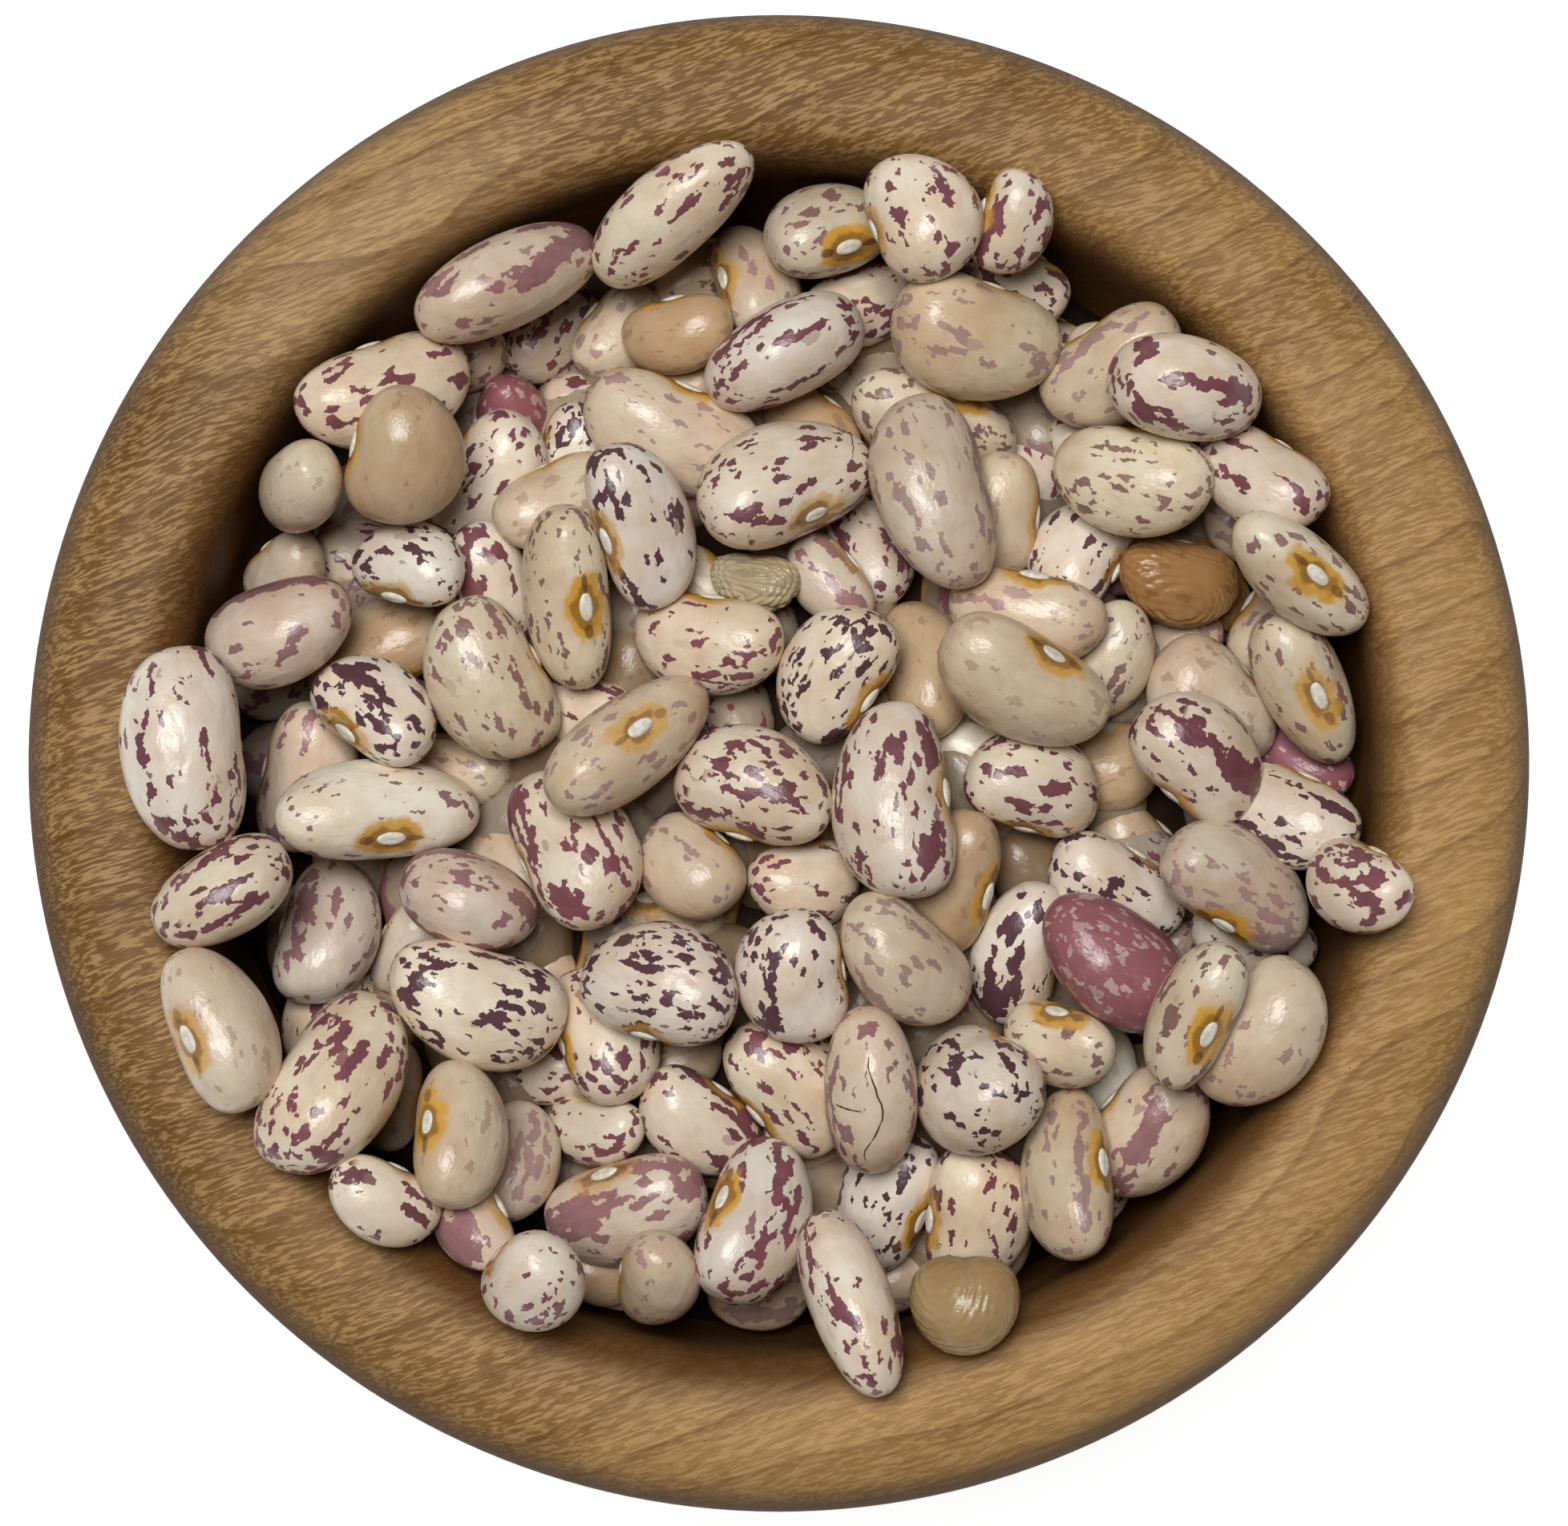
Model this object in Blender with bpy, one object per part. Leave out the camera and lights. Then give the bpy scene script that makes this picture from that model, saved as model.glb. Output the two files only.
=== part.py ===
"""A thick-rimmed turned wooden bowl, heaped with dried speckled beans.

Metres, +Z up. The origin is the middle of the foot, on the surface that the bowl stands on.
The bowl is one turned solid. The beans are one heap: a domed core with the beans that show fused to it.
"""

import itertools
import math
import random

import bmesh
import bpy
import numpy as np
from mathutils import Matrix, Vector

MM = 0.001

# Driving sizes of the bowl
BOWL_RADIUS = 64 * MM
BOWL_HEIGHT = 46 * MM
FOOT_RADIUS = 31 * MM
FLOOR_THICKNESS = 10 * MM
WALL_AT_RIM = 13.8 * MM

# The rim is two quarter lobes that meet at its crest
CREST_RADIUS = BOWL_RADIUS - 0.5 * WALL_AT_RIM
MOUTH_RADIUS = BOWL_RADIUS - WALL_AT_RIM
OUTER_LOBE_DEPTH = 10 * MM
INNER_LOBE_DEPTH = 8 * MM
RIM_SQUARENESS = 2.5
OUTSIDE_FULLNESS = 1.9
HOLLOW_FULLNESS = 2.8
FOOT_EDGE = 1.2 * MM
BOWL_SIDES = 48

# The heap and its core
GAP = 0.5 * MM
HEAP_EDGE_Z = BOWL_HEIGHT - 6 * MM
HEAP_RISE = 11 * MM
CORE_DEPTH = 12 * MM
CORE_SIDES = 24
PRESSED_IN = 1.5 * MM
EASE_ABOVE = 0.3

# A bean's form: how thick it is for its breadth, how blunt its ends are, and how far it bends
THICKNESS_RATIO = 0.84
END_BLUNTNESS = 0.82
BEND = 0.09

# The beans that show, read off the photograph in millimetres from the bowl's axis and in degrees:
# x, y, heading of the long axis, length, breadth as seen, roll that turns the eye up, rise of the head end.
# The eye is on the left of the heading. Each group lies on the one before it.
LOWEST = [
    (-23.4, 30.0, 80, 11, 6.8, 0, 30), (-19.8, 36.4, 60, 11, 8, 20, 0), (-16.8, 31.6, 5, 10, 6.5, 0, 0),
    (-17.8, 26.8, 75, 10, 7, 0, 0), (-13.5, 37.6, 55, 10, 7, 0, 0), (-7.6, 42.0, 20, 10, 6.5, 0, 0),
    (-8.2, 32.4, 15, 8.5, 6, 0, 0), (18.4, 45.2, 70, 9, 6.5, 0, 0), (19.4, 41.6, 100, 8, 6, 0, 0),
    (23.3, 36.8, -15, 9.5, 6.5, 0, 0), (22.3, 40.0, -30, 9, 6.5, 0, 0), (30.6, 36.4, 0, 9, 6, 0, 0),
    (26.3, 27.4, 20, 8.5, 6, 0, 0), (42.3, 20.8, -20, 9, 6, 0, 0), (38.0, 14.8, -65, 9.5, 6.2, 0, 0),
    (34.0, 10.2, -5, 10.5, 6.5, 0, 0), (44.8, -0.8, -35, 11, 7, 0, 0), (30.6, -6.6, -40, 11, 7, 0, 0),
    (28.4, -3.0, 10, 9, 7.4, 0, 0), (16.6, 1.0, -10, 8, 5, 0, 0), (12.6, 6.8, 100, 13, 8, 0, 0),
    (21.6, 26.3, 115, 10, 6.8, 0, 0), (8.0, 31.5, 75, 10, 7, 0, 0), (3.2, 28.6, -40, 10, 6.5, 0, 0),
    (7.4, 18.0, 110, 12, 7.4, 0, 0), (-6.0, 14.4, -40, 8, 5.5, 0, 0), (-17.0, 3.8, -15, 11, 6.5, 0, 0),
    (-9.8, -13.4, 0, 11, 6.4, 60, 0), (14.4, -20.4, -70, 11, 6.4, 0, 0), (-22.8, -8.8, -65, 12, 7, 0, 0),
    (-27.6, -1.0, -10, 10, 6.5, 0, 0), (-32.6, -16.8, 60, 9, 6, 0, 0), (-20.3, -26.2, -15, 10, 7, 0, 0),
    (-8.6, -26.4, 20, 8, 6, 0, 0), (2.2, -33.6, -25, 11, 6.5, 0, 0), (-26.0, -41.2, -60, 9.5, 6.2, 0, 0),
    (-16.4, -45.2, -30, 8, 5.8, 0, 0), (-12.8, -44.6, 10, 8, 6, 0, 0), (-1.6, -46.4, 10, 9, 6, 0, 0),
    (9.2, -44.6, 20, 8, 6, 0, 0), (20.4, -43.0, 75, 9, 6, 0, 0), (41.2, -15.8, -15, 12, 7, 0, 0),
    (-43.2, 17.0, 30, 10, 6.4, 0, 35), (-37.0, 16.8, 160, 10.5, 7.4, 20, 0), (-26.2, 34.6, 0, 8, 6, 0, 0),
    (-21.0, -19.5, 10, 9, 6.5, 0, 0),
]
MIDDLE = [
    (-34.6, 31.2, 22, 16, 9.2, 0, 0), (-24.0, 23.6, 50, 12.4, 8.7, 10, 0), (-19.6, 21.6, 28, 12, 7.6, 0, 0),
    (-8.8, 36.2, 10, 10, 6.8, 0, 0), (-1.8, 41.0, 108, 11.4, 7.8, 25, 0), (6.8, 39.4, 25, 11.5, 7, 0, 0),
    (13.8, 28.2, -20, 15.6, 8.4, 45, 0), (19.6, 20.4, 265, 11, 8.2, 5, 0), (29.6, 33.8, 32, 13.4, 8.8, 0, 0),
    (41.3, 24.4, -38, 12.4, 7.8, 0, 0), (25.6, 17.4, 235, 11, 8.2, 15, 0), (33.2, 15.0, -8, 11, 7.4, 0, 0),
    (37.5, 4.8, -45, 13, 9.4, 0, 0), (43.8, -5.0, -25, 12.6, 8.6, 0, 0), (20.7, -4.4, 170, 12, 9, 5, 0),
    (28.4, 8.2, 60, 11, 7.6, 0, 0), (28.2, -11.2, -28, 13.4, 8.4, 0, 0), (16.8, -9.4, 255, 13, 7.8, 25, 0),
    (19.7, -16.4, 255, 13, 7.8, 5, 0), (-7.0, -9.9, -45, 10, 8.2, 0, 0), (1.4, -11.0, 5, 10, 7.6, 0, 0),
    (3.9, 14.4, -50, 9, 6, 0, 0), (-2.0, 13.9, -12, 8, 4.8, 0, 0), (-24.4, 14.4, -65, 12, 7.9, 0, 0),
    (-34.8, 8.8, 210, 13, 8, 20, 0), (-40.6, -1.6, 75, 13.6, 8.4, 0, 0), (-38.6, -15.4, 80, 13.2, 8.8, 0, 0),
    (-22.0, -34.8, 75, 11, 7.4, 0, 0), (-32.4, -37.0, -25, 10, 6.8, 0, 0), (-15.7, -32.2, -5, 11, 6.2, 0, 25),
    (-7.0, -30.4, -35, 11.4, 7.9, 0, 0), (-14.8, -24.2, 112, 12.6, 8.6, 20, 0), (0.5, -28.6, 130, 13.6, 9.2, 8, 0),
    (9.5, -38.0, 252, 12.6, 8.2, 30, 0), (16.9, -38.4, 85, 13, 9.4, 0, 0), (28.5, -27.3, -75, 9, 6, 0, 0),
    (32.5, -33.6, 50, 13.4, 9.2, 0, 0), (40.3, -25.0, 55, 13.6, 9.2, 0, 0), (-9.4, -46.8, 75, 10.5, 7, 0, 30),
    (15.4, -46.3, 0, 9, 8.4, 0, 0), (-12.9, -39.0, 15, 14.6, 9.2, 35, 0),
]
TOPMOST = [
    (-23.2, 41.6, 30, 17.8, 7.7, -90, 0), (-10.0, 45.9, 37, 17.2, 7.4, -90, 0), (-32.4, 25.6, 75, 11.8, 9.8, 10, 0),
    (-41.6, 22.9, 10, 12, 7.6, 0, 45), (4.1, 46.1, 200, 11, 8.6, 35, 0), (13.7, 44.2, 112, 12, 9.6, 5, 0),
    (-9.0, 27.3, -22, 15.8, 9.6, 15, 0), (0.4, 34.0, 28, 14.6, 8, -90, 0), (16.6, 34.9, -14, 15, 10.4, 12, 0),
    (31.3, 23.2, -15, 14.2, 9.3, 0, 0), (34.2, 29.6, -8, 13.2, 9.1, -60, 0), (44.4, 6.4, -62, 14.6, 7.2, 85, 0),
    (43.8, 15.3, -38, 14.4, 7.0, 85, 0), (35.2, -0.4, 141, 12.6, 9.2, 5, 0), (39.0, -10.5, 147, 14.6, 8.8, 25, 0),
    (48.5, -11.8, -35, 11.5, 7.4, 0, 40), (21.0, 11.0, -12, 13.6, 8.2, 25, 0), (20.2, 5.0, -27, 15.8, 9, 45, 0),
    (28.1, -18.1, -37, 15, 9.4, -60, 0), (9.6, -5.4, 274, 16.6, 10.2, 0, 0), (-2.3, -3.3, 162, 14, 9.7, 0, 0),
    (-6.7, 9.2, -12, 13.6, 8.6, -5, 0), (5.0, 6.3, 235, 12.4, 9, 20, 0), (-24.7, 5.8, 295, 14.2, 9.9, -20, 0),
    (-17.4, 13.3, 275, 15.9, 7.4, 65, 0), (0.0, 22.8, 205, 16.4, 10.2, 35, 0), (13.0, 21.8, 285, 17.2, 9.8, -30, 0),
    (-11.8, 18.2, 110, 14.4, 8.3, 30, 0), (-30.9, 15.6, 165, 10, 7.4, 20, 0), (-42.6, 10.2, 17, 13.6, 9, -50, 0),
    (-33.6, 3.4, 142, 12, 8, 30, 0), (-49.0, -1.2, 277, 17, 10.4, -10, 0), (-33.5, -5.8, 185, 17.8, 9.2, 35, 0),
    (-46.6, -12.4, 32, 12.5, 7.8, -60, 20), (-26.4, -13.6, -18, 12, 8.2, -60, 0), (-16.8, -7.9, 118, 15.2, 10.2, 3, 0),
    (-11.6, 0.8, 38, 17, 8, 88, 0), (1.2, -19.3, 280, 11.4, 9.5, 5, 0), (-9.9, -20.2, 168, 13.9, 10.3, 12, 0),
    (10.6, -17.2, -42, 13.4, 8.6, -40, 0), (-35.9, -27.0, 62, 17, 10.2, -30, 0), (-27.0, -32.6, 88, 12.6, 7.9, 50, 0),
    (-27.0, -22.3, -17, 15.6, 10, -20, 0), (-45.0, -23.3, 115, 14.2, 8, 70, 0), (-20.6, -43.4, 45, 11, 8.4, 0, 35),
    (-3.4, -40.2, 70, 14.6, 9.6, 25, 0), (5.2, -45.9, -70, 16.8, 7.0, -90, 0), (8.1, -28.3, 92, 14.6, 7.8, -90, 0),
    (17.0, -28.6, -30, 12.5, 10.8, 0, 30), (24.2, -35.7, 272, 15.2, 7.9, 40, 0), (35.5, -22.3, 245, 13.2, 7, 65, 0),
    (23.0, -24.7, -18, 10.6, 6.8, 40, 15),
]

# Beans round the wall that fill the low edge of the heap, alike but for a random turn
RING_BEANS = 26
RING_RADIUS = 44.5
RING_ROOM = 6.0
RING_SEED = 5

# Each group, how far below the heap's surface its backs lie, sides round each bean and rings along it
GROUPS = [(LOWEST, 8.5 * MM, 5, 2), (MIDDLE, 5 * MM, 6, 3), (TOPMOST, 0.2 * MM, 6, 4)]

# The height field that beans settle on, and the tilts each may take as it settles
FIELD_STEP = 0.5 * MM
FIELD_HALF = 62 * MM
SAMPLES = 40
RISE_TILTS = np.radians((-24, -16, -8, 0, 8, 16, 24))
ROLL_TILTS = np.radians((-16, -8, 0, 8, 16))
TILT_COST = 0.6 * MM
SHIFTS = [0, 0.6 * MM, 1.2 * MM, 1.8 * MM, 2.4 * MM]
SHIFT_COST = 0.5

# Beans that lie in one another are pushed apart in small steps, down to the overlap that fuses them.
# A bean of a later group is also lifted off an earlier one, and each moves back a little to where it is seen.
PUSHES = 100
PUSH_SHARE = 0.35
PUSH_LIMIT = 0.6 * MM
GROUP_LIFT = 0.6
FUSED_OVERLAP = 1 * MM
HOLD = np.array((0.06, 0.06, 0.03))

# Beans that barely meet the rest are tied to it by a peg between two beans' middles, hidden inside both
SURE_OVERLAP = 0.8 * MM
PEG_RADIUS = 1.2 * MM
PEG_SIDES = 5


def clear_scene():
    for obj in list(bpy.data.objects):
        bpy.data.objects.remove(obj)


def make_material(name, colour, roughness):
    material = bpy.data.materials.new(name)
    material.use_nodes = True
    shader = material.node_tree.nodes["Principled BSDF"]
    shader.inputs["Base Color"].default_value = (*colour, 1)
    shader.inputs["Roughness"].default_value = roughness
    shader.inputs["Metallic"].default_value = 0
    return material


def lobe(reach, depth, squareness, turn):
    """A point of a quarter superellipse: turn 0 is out at its full reach, turn 1 at its full depth."""
    angle = turn * math.pi / 2
    power = 2 / squareness
    return reach * math.cos(angle) ** power, depth * math.sin(angle) ** power


def hollow_points(steps, inset=0.0):
    """The hollow's wall from the mouth down to the middle of its floor, as (radius, height)."""
    reach = MOUTH_RADIUS - inset
    top = BOWL_HEIGHT - INNER_LOBE_DEPTH
    depth = top - FLOOR_THICKNESS - inset
    points = []
    for i in range(steps):
        r, drop = lobe(reach, depth, HOLLOW_FULLNESS, i / steps)
        points.append((r, top - drop))
    return points + [(0.0, top - depth)]


def bowl_profile():
    """The turned outline, from the middle of the foot up the outside, over the rim and down the hollow."""
    outer_z = BOWL_HEIGHT - OUTER_LOBE_DEPTH
    inner_z = BOWL_HEIGHT - INNER_LOBE_DEPTH
    points = [(0.0, 0.0), (FOOT_RADIUS - FOOT_EDGE, 0.0)]
    outside_steps = 7
    for i in range(outside_steps):
        out, up = lobe(BOWL_RADIUS - FOOT_RADIUS, outer_z - FOOT_EDGE, OUTSIDE_FULLNESS, 1 - i / outside_steps)
        points.append((FOOT_RADIUS + out, outer_z - up))
    rim_steps = 5
    for i in range(rim_steps):
        out, up = lobe(BOWL_RADIUS - CREST_RADIUS, OUTER_LOBE_DEPTH, RIM_SQUARENESS, i / rim_steps)
        points.append((CREST_RADIUS + out, outer_z + up))
    for i in range(rim_steps):
        out, up = lobe(CREST_RADIUS - MOUTH_RADIUS, INNER_LOBE_DEPTH, RIM_SQUARENESS, 1 - i / rim_steps)
        points.append((CREST_RADIUS - out, inner_z + up))
    return points + hollow_points(8)


def turned_mesh(name, profile, sides):
    """A closed mesh turned about Z from a profile that starts and ends on the axis."""
    mesh = bpy.data.meshes.new(name)
    form = bmesh.new()
    verts = [form.verts.new((r, 0, z)) for r, z in profile]
    edges = [form.edges.new(pair) for pair in zip(verts, verts[1:])]
    bmesh.ops.spin(
        form, geom=verts + edges, cent=(0, 0, 0), axis=(0, 0, 1), angle=2 * math.pi, steps=sides, use_merge=True
    )
    bmesh.ops.remove_doubles(form, verts=form.verts, dist=0.01 * MM)
    bmesh.ops.recalc_face_normals(form, faces=form.faces)
    form.to_mesh(mesh)
    form.free()
    return mesh


def add_object(name, mesh, material, collection=None):
    obj = bpy.data.objects.new(name, mesh)
    (collection or bpy.context.scene.collection).objects.link(obj)
    if material:
        mesh.materials.append(material)
    return obj


def make_bowl():
    wood = make_material("turned_wood", (0.35, 0.22, 0.10), 0.55)
    bowl = add_object("bowl", turned_mesh("bowl", bowl_profile(), BOWL_SIDES), wood)
    bowl.data.shade_smooth()
    bowl.data.set_sharp_from_angle(angle=math.radians(40))
    return bowl


def heap_height(radius):
    """The height of the heap's surface at a radius: a low parabola."""
    return HEAP_EDGE_Z + HEAP_RISE * (1 - (radius / MOUTH_RADIUS) ** 2)


def make_core():
    """The unseen body of the heap: the hollow's form, a gap inside it, under a shallow dome."""
    edge_radius = MOUTH_RADIUS - 2 * GAP
    steps = 6
    dome = [(edge_radius * i / steps, heap_height(edge_radius * i / steps) - CORE_DEPTH) for i in range(steps + 1)]
    wall = [(min(edge_radius, r), z) for r, z in hollow_points(10, GAP) if z < dome[-1][1]]
    return turned_mesh("core", dome + wall, CORE_SIDES)


def turn_of(heading, rise, roll):
    """The bean's turn: roll about its long axis, then its head end up, then its heading."""
    return (
        Matrix.Rotation(heading, 3, "Z") @ Matrix.Rotation(-rise, 3, "Y") @ Matrix.Rotation(roll, 3, "X")
    )


def bowl_field():
    """The square field's axis, the height of the bare bed on it, and that of the bowl with the gap on it."""
    axis = np.arange(-FIELD_HALF, FIELD_HALF + FIELD_STEP / 2, FIELD_STEP)
    x, y = np.meshgrid(axis, axis, indexing="ij")
    radius = np.hypot(x, y)
    profile = bowl_profile()
    crest = max(range(len(profile)), key=lambda i: profile[i][1])
    inside = sorted(profile[crest:])
    outside = sorted(point for point in profile[:crest] if point[1] > BOWL_HEIGHT / 2)
    steepened = np.where(radius < CREST_RADIUS, radius + GAP, radius)
    wall = np.interp(steepened, *zip(*(inside + outside))) + GAP
    return axis, heap_height(radius) - CORE_DEPTH, wall


def bean_points(half_sizes, along, around):
    """Points of a kidney-shaped bean along X, its eye side at +Y, for turns along and around it."""
    half_length, half_breadth, half_thickness = half_sizes
    girth = np.sin(along) ** END_BLUNTNESS
    x = -half_length * np.cos(along) * np.ones_like(around)
    bend = BEND * 2 * half_breadth * ((x / half_length) ** 2 - 0.35)
    return np.stack((x, girth * half_breadth * np.cos(around) + bend, girth * half_thickness * np.sin(around)), -1)


def settle(seen, depth, axis, bed, wall):
    """Lowers one bean onto the bed, at the tilt and nudge inwards that let it lie lowest.

    A bean whose back would stand above its group's level is eased down towards it, clear of the bowl.
    The bed is then raised by the bean. The result is where the bean lies, its turn and its half sizes.
    """
    x, y, heading, length, breadth, roll, rise = seen
    middle = Vector((x, y)) * MM
    heading, roll, rise = math.radians(heading), math.radians(roll), math.radians(rise)
    broad = breadth / math.hypot(math.cos(roll), THICKNESS_RATIO * math.sin(roll))
    half_sizes = np.array((length, broad, THICKNESS_RATIO * broad)) * MM / 2
    along = np.linspace(0.02, math.pi - 0.02, SAMPLES)[:, None]
    around = np.linspace(0, 2 * math.pi, SAMPLES)[None, :]
    points = bean_points(half_sizes, along, around).reshape(-1, 3)
    best = None
    for rise_tilt, roll_tilt in itertools.product(RISE_TILTS, ROLL_TILTS):
        turn = turn_of(heading, rise + rise_tilt, roll + roll_tilt)
        turned = points @ np.array(turn).T
        heights = turned[:, 2]
        for shift in SHIFTS if middle.length > 0.8 * MOUTH_RADIUS else SHIFTS[:1]:
            place = middle * (1 - shift / middle.length)
            cells = np.rint((turned[:, :2] + place - axis[0]) / FIELD_STEP).astype(int)
            cells = tuple(np.clip(cells, 0, len(axis) - 1).T)
            level = heap_height(place.length) - depth - heights.max()
            z = (bed[cells] - heights).max() - PRESSED_IN
            z = max(min(z, level + EASE_ABOVE * (z - level)), (wall[cells] - heights).max())
            cost = z + TILT_COST * (abs(rise_tilt) + abs(roll_tilt)) + SHIFT_COST * shift
            if best is None or cost < best[0]:
                best = (cost, (*place, z), turn, heights, cells)
    _, place, turn, heights, cells = best
    np.maximum.at(bed, cells, place[2] + heights)
    return Vector(place), turn, half_sizes


def under_field(cloud, place, axis, field):
    """How far a bean's surface points, at this place, reach below a height field, and the cells they cover."""
    cells = np.rint((cloud[:, :2] + place[:2] - axis[0]) / FIELD_STEP).astype(int)
    cells = tuple(np.clip(cells, 0, len(axis) - 1).T)
    return (field[cells] - cloud[:, 2]).max() - place[2], cells


def deepest_inside(points, place, turn, half_sizes):
    """How deep the deepest of some points lies inside a bean, and the way straight out of it."""
    half_length, half_breadth, half_thickness = half_sizes
    x, y, z = ((points - place) @ turn).T
    along = np.clip(x / half_length, -1, 1)
    girth = (1 - along**2) ** (END_BLUNTNESS / 2)
    across = (y - BEND * 2 * half_breadth * (along**2 - 0.35)) / half_breadth
    depth = (girth - np.hypot(across, z / half_thickness)) * half_thickness
    depth = np.where(np.abs(x) < half_length, depth, -half_length)
    k = depth.argmax()
    out = turn @ np.array((x[k] / half_length**2, across[k] / half_breadth, z[k] / half_thickness**2))
    return depth[k], out / np.linalg.norm(out)


def push_apart(beans, seen_places, groups, axis, bare_bed, wall):
    """New places for the beans, each held near where it is seen and clear of the bowl.

    From the lowest up, a bean that then hangs free sinks until it is pressed into what lies under it.
    """
    along = np.linspace(0.15, math.pi - 0.15, 12)[:, None]
    around = np.linspace(0, 2 * math.pi, 16, endpoint=False)[None, :]
    places = np.array([bean[0] for bean in beans])
    turns = [np.array(bean[1]) for bean in beans]
    sizes = [bean[2] for bean in beans]
    clouds = [bean_points(size, along, around).reshape(-1, 3) @ turn.T for size, turn in zip(sizes, turns)]
    targets = np.column_stack((seen_places, places[:, 2]))
    reach = np.array([size[0] for size in sizes])
    for _ in range(PUSHES):
        push = np.zeros_like(places)
        apart = np.linalg.norm(places[:, None] - places[None], axis=-1)
        for i, j in zip(*np.nonzero((apart < reach[:, None] + reach[None]) & (apart > 0))):
            depth, out = deepest_inside(clouds[i] + places[i], places[j], turns[j], sizes[j])
            if depth > FUSED_OVERLAP:
                out[2] += GROUP_LIFT * (groups[i] - groups[j])
                push[i] += PUSH_SHARE * (depth - FUSED_OVERLAP) * out
                push[j] -= PUSH_SHARE * (depth - FUSED_OVERLAP) * out
        places += np.clip(push, -PUSH_LIMIT, PUSH_LIMIT) + HOLD * (targets - places)
        for i, cloud in enumerate(clouds):
            rub = max(under_field(cloud, places[i], axis, wall)[0], 0)
            places[i, :2] *= 1 - min(0.15 * rub, 0.5 * PUSH_LIMIT) / np.hypot(*places[i, :2])
            places[i, 2] += min(0.5 * rub, 0.5 * PUSH_LIMIT)
    along = np.linspace(0.02, math.pi - 0.02, SAMPLES)[:, None]
    around = np.linspace(0, 2 * math.pi, SAMPLES)[None, :]
    bed = bare_bed.copy()
    for i in sorted(range(len(places)), key=lambda i: (groups[i], places[i, 2])):
        cloud = bean_points(sizes[i], along, around).reshape(-1, 3) @ turns[i].T
        under, cells = under_field(cloud, places[i], axis, bed)
        places[i, 2] += min(under - PRESSED_IN, 0)
        places[i, 2] += max(under_field(cloud, places[i], axis, wall)[0], 0)
        np.maximum.at(bed, cells, places[i, 2] + cloud[:, 2])
    return places


def peg_pairs(places, turns, sizes, axis, bare_bed):
    """The pairs of beans to tie, so that every bean is joined to the core through others or by itself."""
    along = np.linspace(0.15, math.pi - 0.15, 12)[:, None]
    around = np.linspace(0, 2 * math.pi, 16, endpoint=False)[None, :]
    clouds = [bean_points(size, along, around).reshape(-1, 3) @ turn.T for size, turn in zip(sizes, turns)]
    in_core = [under_field(cloud, place, axis, bare_bed)[0] > SURE_OVERLAP for cloud, place in zip(clouds, places)]
    clump = np.where(in_core, -1, np.arange(len(places)))
    apart = np.linalg.norm(places[:, None] - places[None], axis=-1)
    for i, j in itertools.permutations(range(len(places)), 2):
        near = apart[i, j] < sizes[i][0] + sizes[j][0]
        if near and deepest_inside(clouds[i] + places[i], places[j], turns[j], sizes[j])[0] > SURE_OVERLAP:
            clump[clump == max(clump[i], clump[j])] = min(clump[i], clump[j])
    pairs = []
    while (clump >= 0).any():
        loose, tied = np.nonzero(clump >= 0)[0], np.nonzero(clump < 0)[0]
        reach = apart[np.ix_(loose, tied)]
        a, b = np.unravel_index(reach.argmin(), reach.shape)
        pairs.append((loose[a], tied[b]))
        clump[clump == clump[loose[a]]] = -1
    return pairs


def peg_mesh(start, end):
    """A thin closed rod from one place to another."""
    form = bmesh.new()
    run = Vector(end) - Vector(start)
    turn = run.to_track_quat("Z", "Y").to_matrix().to_4x4()
    middle = Matrix.Translation((Vector(start) + Vector(end)) / 2)
    bmesh.ops.create_cone(
        form, cap_ends=True, segments=PEG_SIDES, radius1=PEG_RADIUS, radius2=PEG_RADIUS, depth=run.length,
        matrix=middle @ turn,
    )
    mesh = bpy.data.meshes.new("peg")
    form.to_mesh(mesh)
    form.free()
    return mesh


def bean_mesh(name, half_sizes, sides, rings):
    """The bean as rings of corners between two poles."""
    # The flats of a ring lie inside its corners, so the corners stand out by half of what is lost
    proud = 0.5 + 0.5 / math.cos(math.pi / sides)
    girths = half_sizes * (1, proud, proud)
    along = math.pi * np.arange(1, rings + 1)[:, None] / (rings + 1)
    around = 2 * math.pi * np.arange(sides)[None, :] / sides
    form = bmesh.new()
    loops = [[form.verts.new(point) for point in ring] for ring in bean_points(girths, along, around)]
    tail, head = (form.verts.new(bean_points(girths, np.array(end), np.array(0.0))) for end in (0.0, math.pi))
    for j in range(sides):
        k = (j + 1) % sides
        form.faces.new((tail, loops[0][k], loops[0][j]))
        form.faces.new((head, loops[-1][j], loops[-1][k]))
        for near, far in zip(loops, loops[1:]):
            form.faces.new((near[j], near[k], far[k], far[j]))
    bmesh.ops.recalc_face_normals(form, faces=form.faces)
    mesh = bpy.data.meshes.new(name)
    form.to_mesh(mesh)
    form.free()
    return mesh


def keep_largest_shell(mesh):
    """Drops sealed pockets between beans, and any scrap, so that one closed shell is left."""
    form = bmesh.new()
    form.from_mesh(mesh)
    unseen = set(form.verts)
    shells = []
    while unseen:
        shell, front = set(), [unseen.pop()]
        while front:
            vert = front.pop()
            shell.add(vert)
            for edge in vert.link_edges:
                other = edge.other_vert(vert)
                if other in unseen:
                    unseen.remove(other)
                    front.append(other)
        shells.append(shell)
    shells.sort(key=len)
    for shell in shells[:-1]:
        bmesh.ops.delete(form, geom=list(shell), context="VERTS")
    form.to_mesh(mesh)
    form.free()


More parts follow.
